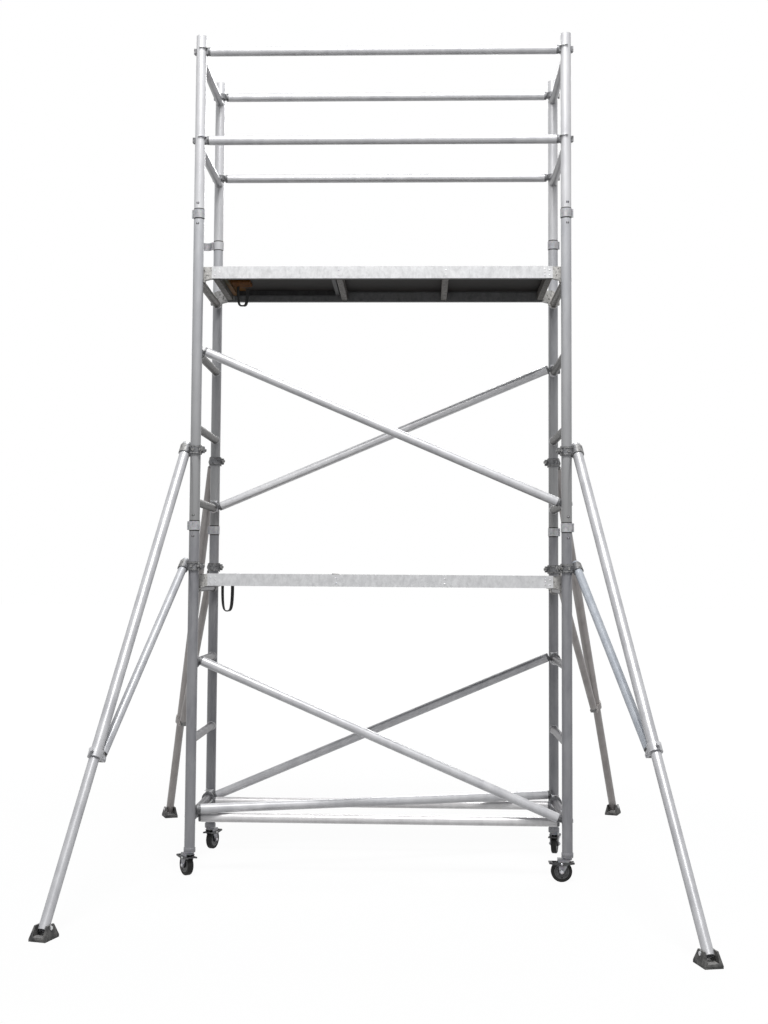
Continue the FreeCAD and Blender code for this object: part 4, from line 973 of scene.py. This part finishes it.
# Painted shade: a platform frame's inner faces, undersides and cross members are toned darker than
# its outer faces.
shaded_inner_section = extruded_aluminium("shaded_inner_section", 0.14, 0.24, 0.0, 0.1)
shaded_section = extruded_aluminium("shaded_section", 0.035, 0.08, 0.0, 0.05)
shaded_cross_section = cast_metal("shaded_cross_section", (0.050, 0.045, 0.040), (0.15, 0.138, 0.125),
                           0.6, 0.3)
weld_metal = cast_metal("weld_metal", (0.40, 0.40, 0.41), (0.62, 0.62, 0.63), 0.42)
dark_casting = cast_metal("dark_casting", (0.10, 0.101, 0.106), (0.20, 0.202, 0.21))
grey_casting = cast_metal("grey_casting", (0.15, 0.148, 0.145), (0.30, 0.298, 0.294))
pale_casting = cast_metal("pale_casting", (0.28, 0.275, 0.265), (0.50, 0.49, 0.47),
                          rubbing_and_highlight=0.3)
bright_zinc = zinc_plate("bright_zinc")
clip_zinc = zinc_plate("clip_zinc", 0.46, 0.32, 0.45)
dull_zinc = zinc_plate("dull_zinc", 0.27, 0.15, 0.5)
deck_film = board_top("deck_film")
deck_underside = board_underside("deck_underside")
ply_edge = board_edge("ply_edge")
wheel_rubber = worn_rubber("wheel_rubber", 0.008, 0.030)
foot_rubber = worn_rubber("foot_rubber", 0.045, 0.22)
sole_rubber = worn_rubber("sole_rubber", 0.16, 0.42)
pedal_plastic = moulded_plastic("pedal_plastic", (0.02, 0.02, 0.022), (0.07, 0.07, 0.072))
hub_plastic = moulded_plastic("hub_plastic", (0.035, 0.035, 0.037), (0.10, 0.10, 0.10))
# Partly dirt, partly painted shade: the dark in the gaps at the clips and in the button holes.
seam_dirt_and_shade = moulded_plastic("seam_dirt_and_shade", (0.030, 0.029, 0.028), (0.10, 0.097, 0.092), 0.7)
grey_plastic = moulded_plastic("grey_plastic", (0.45, 0.45, 0.46), (0.62, 0.62, 0.62))
pale_plastic = moulded_plastic("pale_plastic", (0.62, 0.63, 0.62), (0.80, 0.80, 0.79))
orange_plastic = moulded_plastic("orange_plastic", (0.070, 0.026, 0.008), (0.17, 0.068, 0.016),
                                 0.7, 0.05)
black_webbing = strap_webbing("black_webbing")


# ---- dressing the frame's own solids ---------------------------------------------------
# How much cooler two of the struts are than the other front tubes.
TINTS = {"stabiliser_front_right_strut": -0.030, "stabiliser_front_left_strut": -0.006}
RIM_START = HATCH_END + 0.040   # the rim bar at a trapdoor's free end is dressed as its board


def mean_place(node):
    low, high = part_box(node)
    return (low + high) / 2


def main_axis(node):
    """The direction in which a long solid runs."""
    points = numpy.array([v.co for v in nodes[node].data.vertices])
    return Vector(numpy.linalg.svd(points - points.mean(0), full_matrices=False)[2][0])


def dress(node, *finishes):
    """Gives a node of the frame its finishes, and all its faces the first one."""
    mesh = nodes[node].data
    mesh.materials.clear()
    for finish in finishes:
        mesh.materials.append(finish)


def dress_by_place(node, finishes, choose):
    """Gives each face of a node one of several finishes."""
    dress(node, *finishes)
    for face in nodes[node].data.polygons:
        face.material_index = int(choose(face))


def rung_kind(face):
    """0 on a post, 1 on a rung, 2 on the rung under the upper platform, toned dark as painted
    shade.
    """
    if min(abs(face.center.y - FRONT), abs(face.center.y - REAR)) < POST_RADIUS + HAIR:
        return 0
    return 2 if abs(face.center.z - UPPER_RUNGS[-1]) < 2 * RUNG_RADIUS else 1


def platform_face(face):
    """0 outside and on top, 1 inside a beam, 2 under a beam, 3 on a cross member; 1, 2 and 3 are
    toned dark as painted shade.
    """
    aside = abs(face.center.y - CENTRE.y)
    if aside > PLATFORM_HALF - 2 * HAIR or face.normal.z > 0.9:
        return 0
    if aside < PLATFORM_HALF - BEAM_WIDTH - 2 * HAIR:
        return 3
    return 1 if abs(face.normal.y) > 0.9 else 2


def board_face(face):
    """0 on top, 1 underneath, 2 on an edge, 3 on the rim under a trapdoor."""
    bottom = min(DECK_BOTTOMS.values(), key=lambda height: abs(height - face.center.z))
    if face.center.z < bottom - HAIR and face.center.x > RIM_START:
        return 3
    if abs(face.normal.z) < 0.5:
        return 2
    return 0 if face.normal.z > 0 else 1


def is_rear_left(face):
    return face.center.x < CENTRE.x and face.center.y > CENTRE.y


def is_sole_top(face):
    """True for the upward faces of a foot, which are dressed in the paler rubber."""
    return face.normal.z > 0.5


def separate_solids(node):
    """The number of the solid that each face of a node belongs to, and each solid's extent."""
    mesh = nodes[node].data
    merged = bmesh.new()
    merged.from_mesh(mesh)
    home = merged.faces.layers.int.new("home")
    for face in merged.faces:
        face[home] = face.index
    bmesh.ops.remove_doubles(merged, verts=merged.verts, dist=1e-5)
    solid_of = [0] * len(mesh.polygons)
    lengths = []
    waiting = set(merged.faces)
    while waiting:
        group = [waiting.pop()]
        for face in group:
            beside = {other for edge in face.edges for other in edge.link_faces} & waiting
            waiting -= beside
            group += beside
        for face in group:
            solid_of[face[home]] = len(lengths)
        spots = numpy.array([v.co for face in group for v in face.verts])
        lengths.append((spots.max(0) - spots.min(0)).max())
    merged.free()
    return solid_of, lengths


def stabiliser_tube(node):
    """The rear tubes are browner than the front ones, and toned darker as painted shade."""
    tones = (0.41, 0.31, 0.026) if "rear" in node else (0.545, 0.44, TINTS.get(node, 0.0))
    return drawn_aluminium(node + "_tube", main_axis(node), *tones)


def dress_stabiliser(node):
    """The tube, a dark coupler round the post, and paler knuckles."""
    solid_of, lengths = separate_solids(node)
    centre = mean_place(node).xy
    post = min(map(Vector, CORNERS.values()), key=lambda spot: (spot - centre).length)

    def kind(face):
        if lengths[solid_of[face.index]] > 0.5 * max(lengths):
            return 0
        return 1 if (face.center.xy - post).length < COUPLER_REACH else 2

    dress_by_place(node, (stabiliser_tube(node), dark_casting, grey_casting), kind)


# One finish all over, by the ending of a node's name.
PLAIN_FINISHES = {
    "joint_spigots": post_tube["upper"],
    "guardrails_front": long_tube,
    "guardrails_rear": long_tube,
    "base_rails": base_tube,
    "interlock_clips": clip_zinc,
    "interlock_leaf_open": clip_zinc,
    "castor_stems": dull_zinc,
    "_fork": dull_zinc,
    "_wheel": wheel_rubber,
    "_brake": pedal_plastic,
    "claw_latches": bright_zinc,
    "brace_claws": dark_casting,
    "_catch": orange_plastic,
    "_strap": black_webbing,
}


def finish_node(node):
    """Dresses one node of the frame for what it is."""
    for ending, finish in PLAIN_FINISHES.items():
        if node.endswith(ending):
            return dress(node, finish)
    if node.endswith(("_frame_left", "_frame_right")):
        part = node.split("_")[0]
        dress_by_place(node, (post_tube[part], rung_tube[part], shadowed_rung), rung_kind)
    elif node.endswith(("_arm", "_strut")):
        dress_stabiliser(node)
    elif node.endswith("_leg"):
        dress(node, stabiliser_tube(node))
    elif node.startswith(("diagonal", "plan_brace")):
        # Painted light: the upper rear diagonal is toned paler, standing in for the light that the
        # upper platform keeps off it.
        tones = (0.80, 0.70) if node == "diagonal_upper_rear" else (0.63, 0.53)
        dress(node, drawn_aluminium(node + "_tube", main_axis(node), *tones))
    elif node.endswith("_hooks"):
        dress_by_place(node, (pale_casting, grey_casting), is_rear_left)
    elif node.endswith("_frame"):
        dress_by_place(node, (beam_section, shaded_inner_section, shaded_section, shaded_cross_section),
                       platform_face)
    elif node.endswith("_boards"):
        dress_by_place(node, (deck_film, deck_underside, ply_edge), board_face)
    elif node.endswith("_hatch"):
        worn_underside = board_underside(node + "_underside", HATCH_END)
        # The rim under a trapdoor is toned dark as painted shade.
        dress_by_place(node, (deck_film, worn_underside, ply_edge, shaded_section), board_face)
    elif node.endswith("_foot"):
        dress_by_place(node, (foot_rubber, sole_rubber), is_sole_top)
    else:
        raise RuntimeError("no finish for " + node)


# ---- build -----------------------------------------------------------------------------
bpy.context.scene.view_settings.view_transform = "Standard"
place_camera()
light_world()
lay_floor()
hang_lamp("overhead", (0.6, -6.2, 12.5), (0, 0, 1.6), size=4.0, power=1500.0)
hang_lamp("key", (-0.5, -2.9, 5.8), (0, 0, 2.9), size=2.4, power=76.0, colour=(1.0, 0.99, 0.98))
hang_lamp("back", (1.5, 8.0, 7.5), (0, 0, 1.8), size=4.0, power=420.0)

for node in nodes:
    finish_node(node)

frame_welds()
joint_buttons()
joint_seams()
post_plugs()
claw_triggers()
rail_rivets()
beam_rivets()
deck_screws()
for level in LEVELS:
    hatch_fittings(level)
    webbing_loop(level, black_webbing)
for corner in CORNERS:
    castor_details(corner)
    coupler_details(corner)
    foot_details(corner)
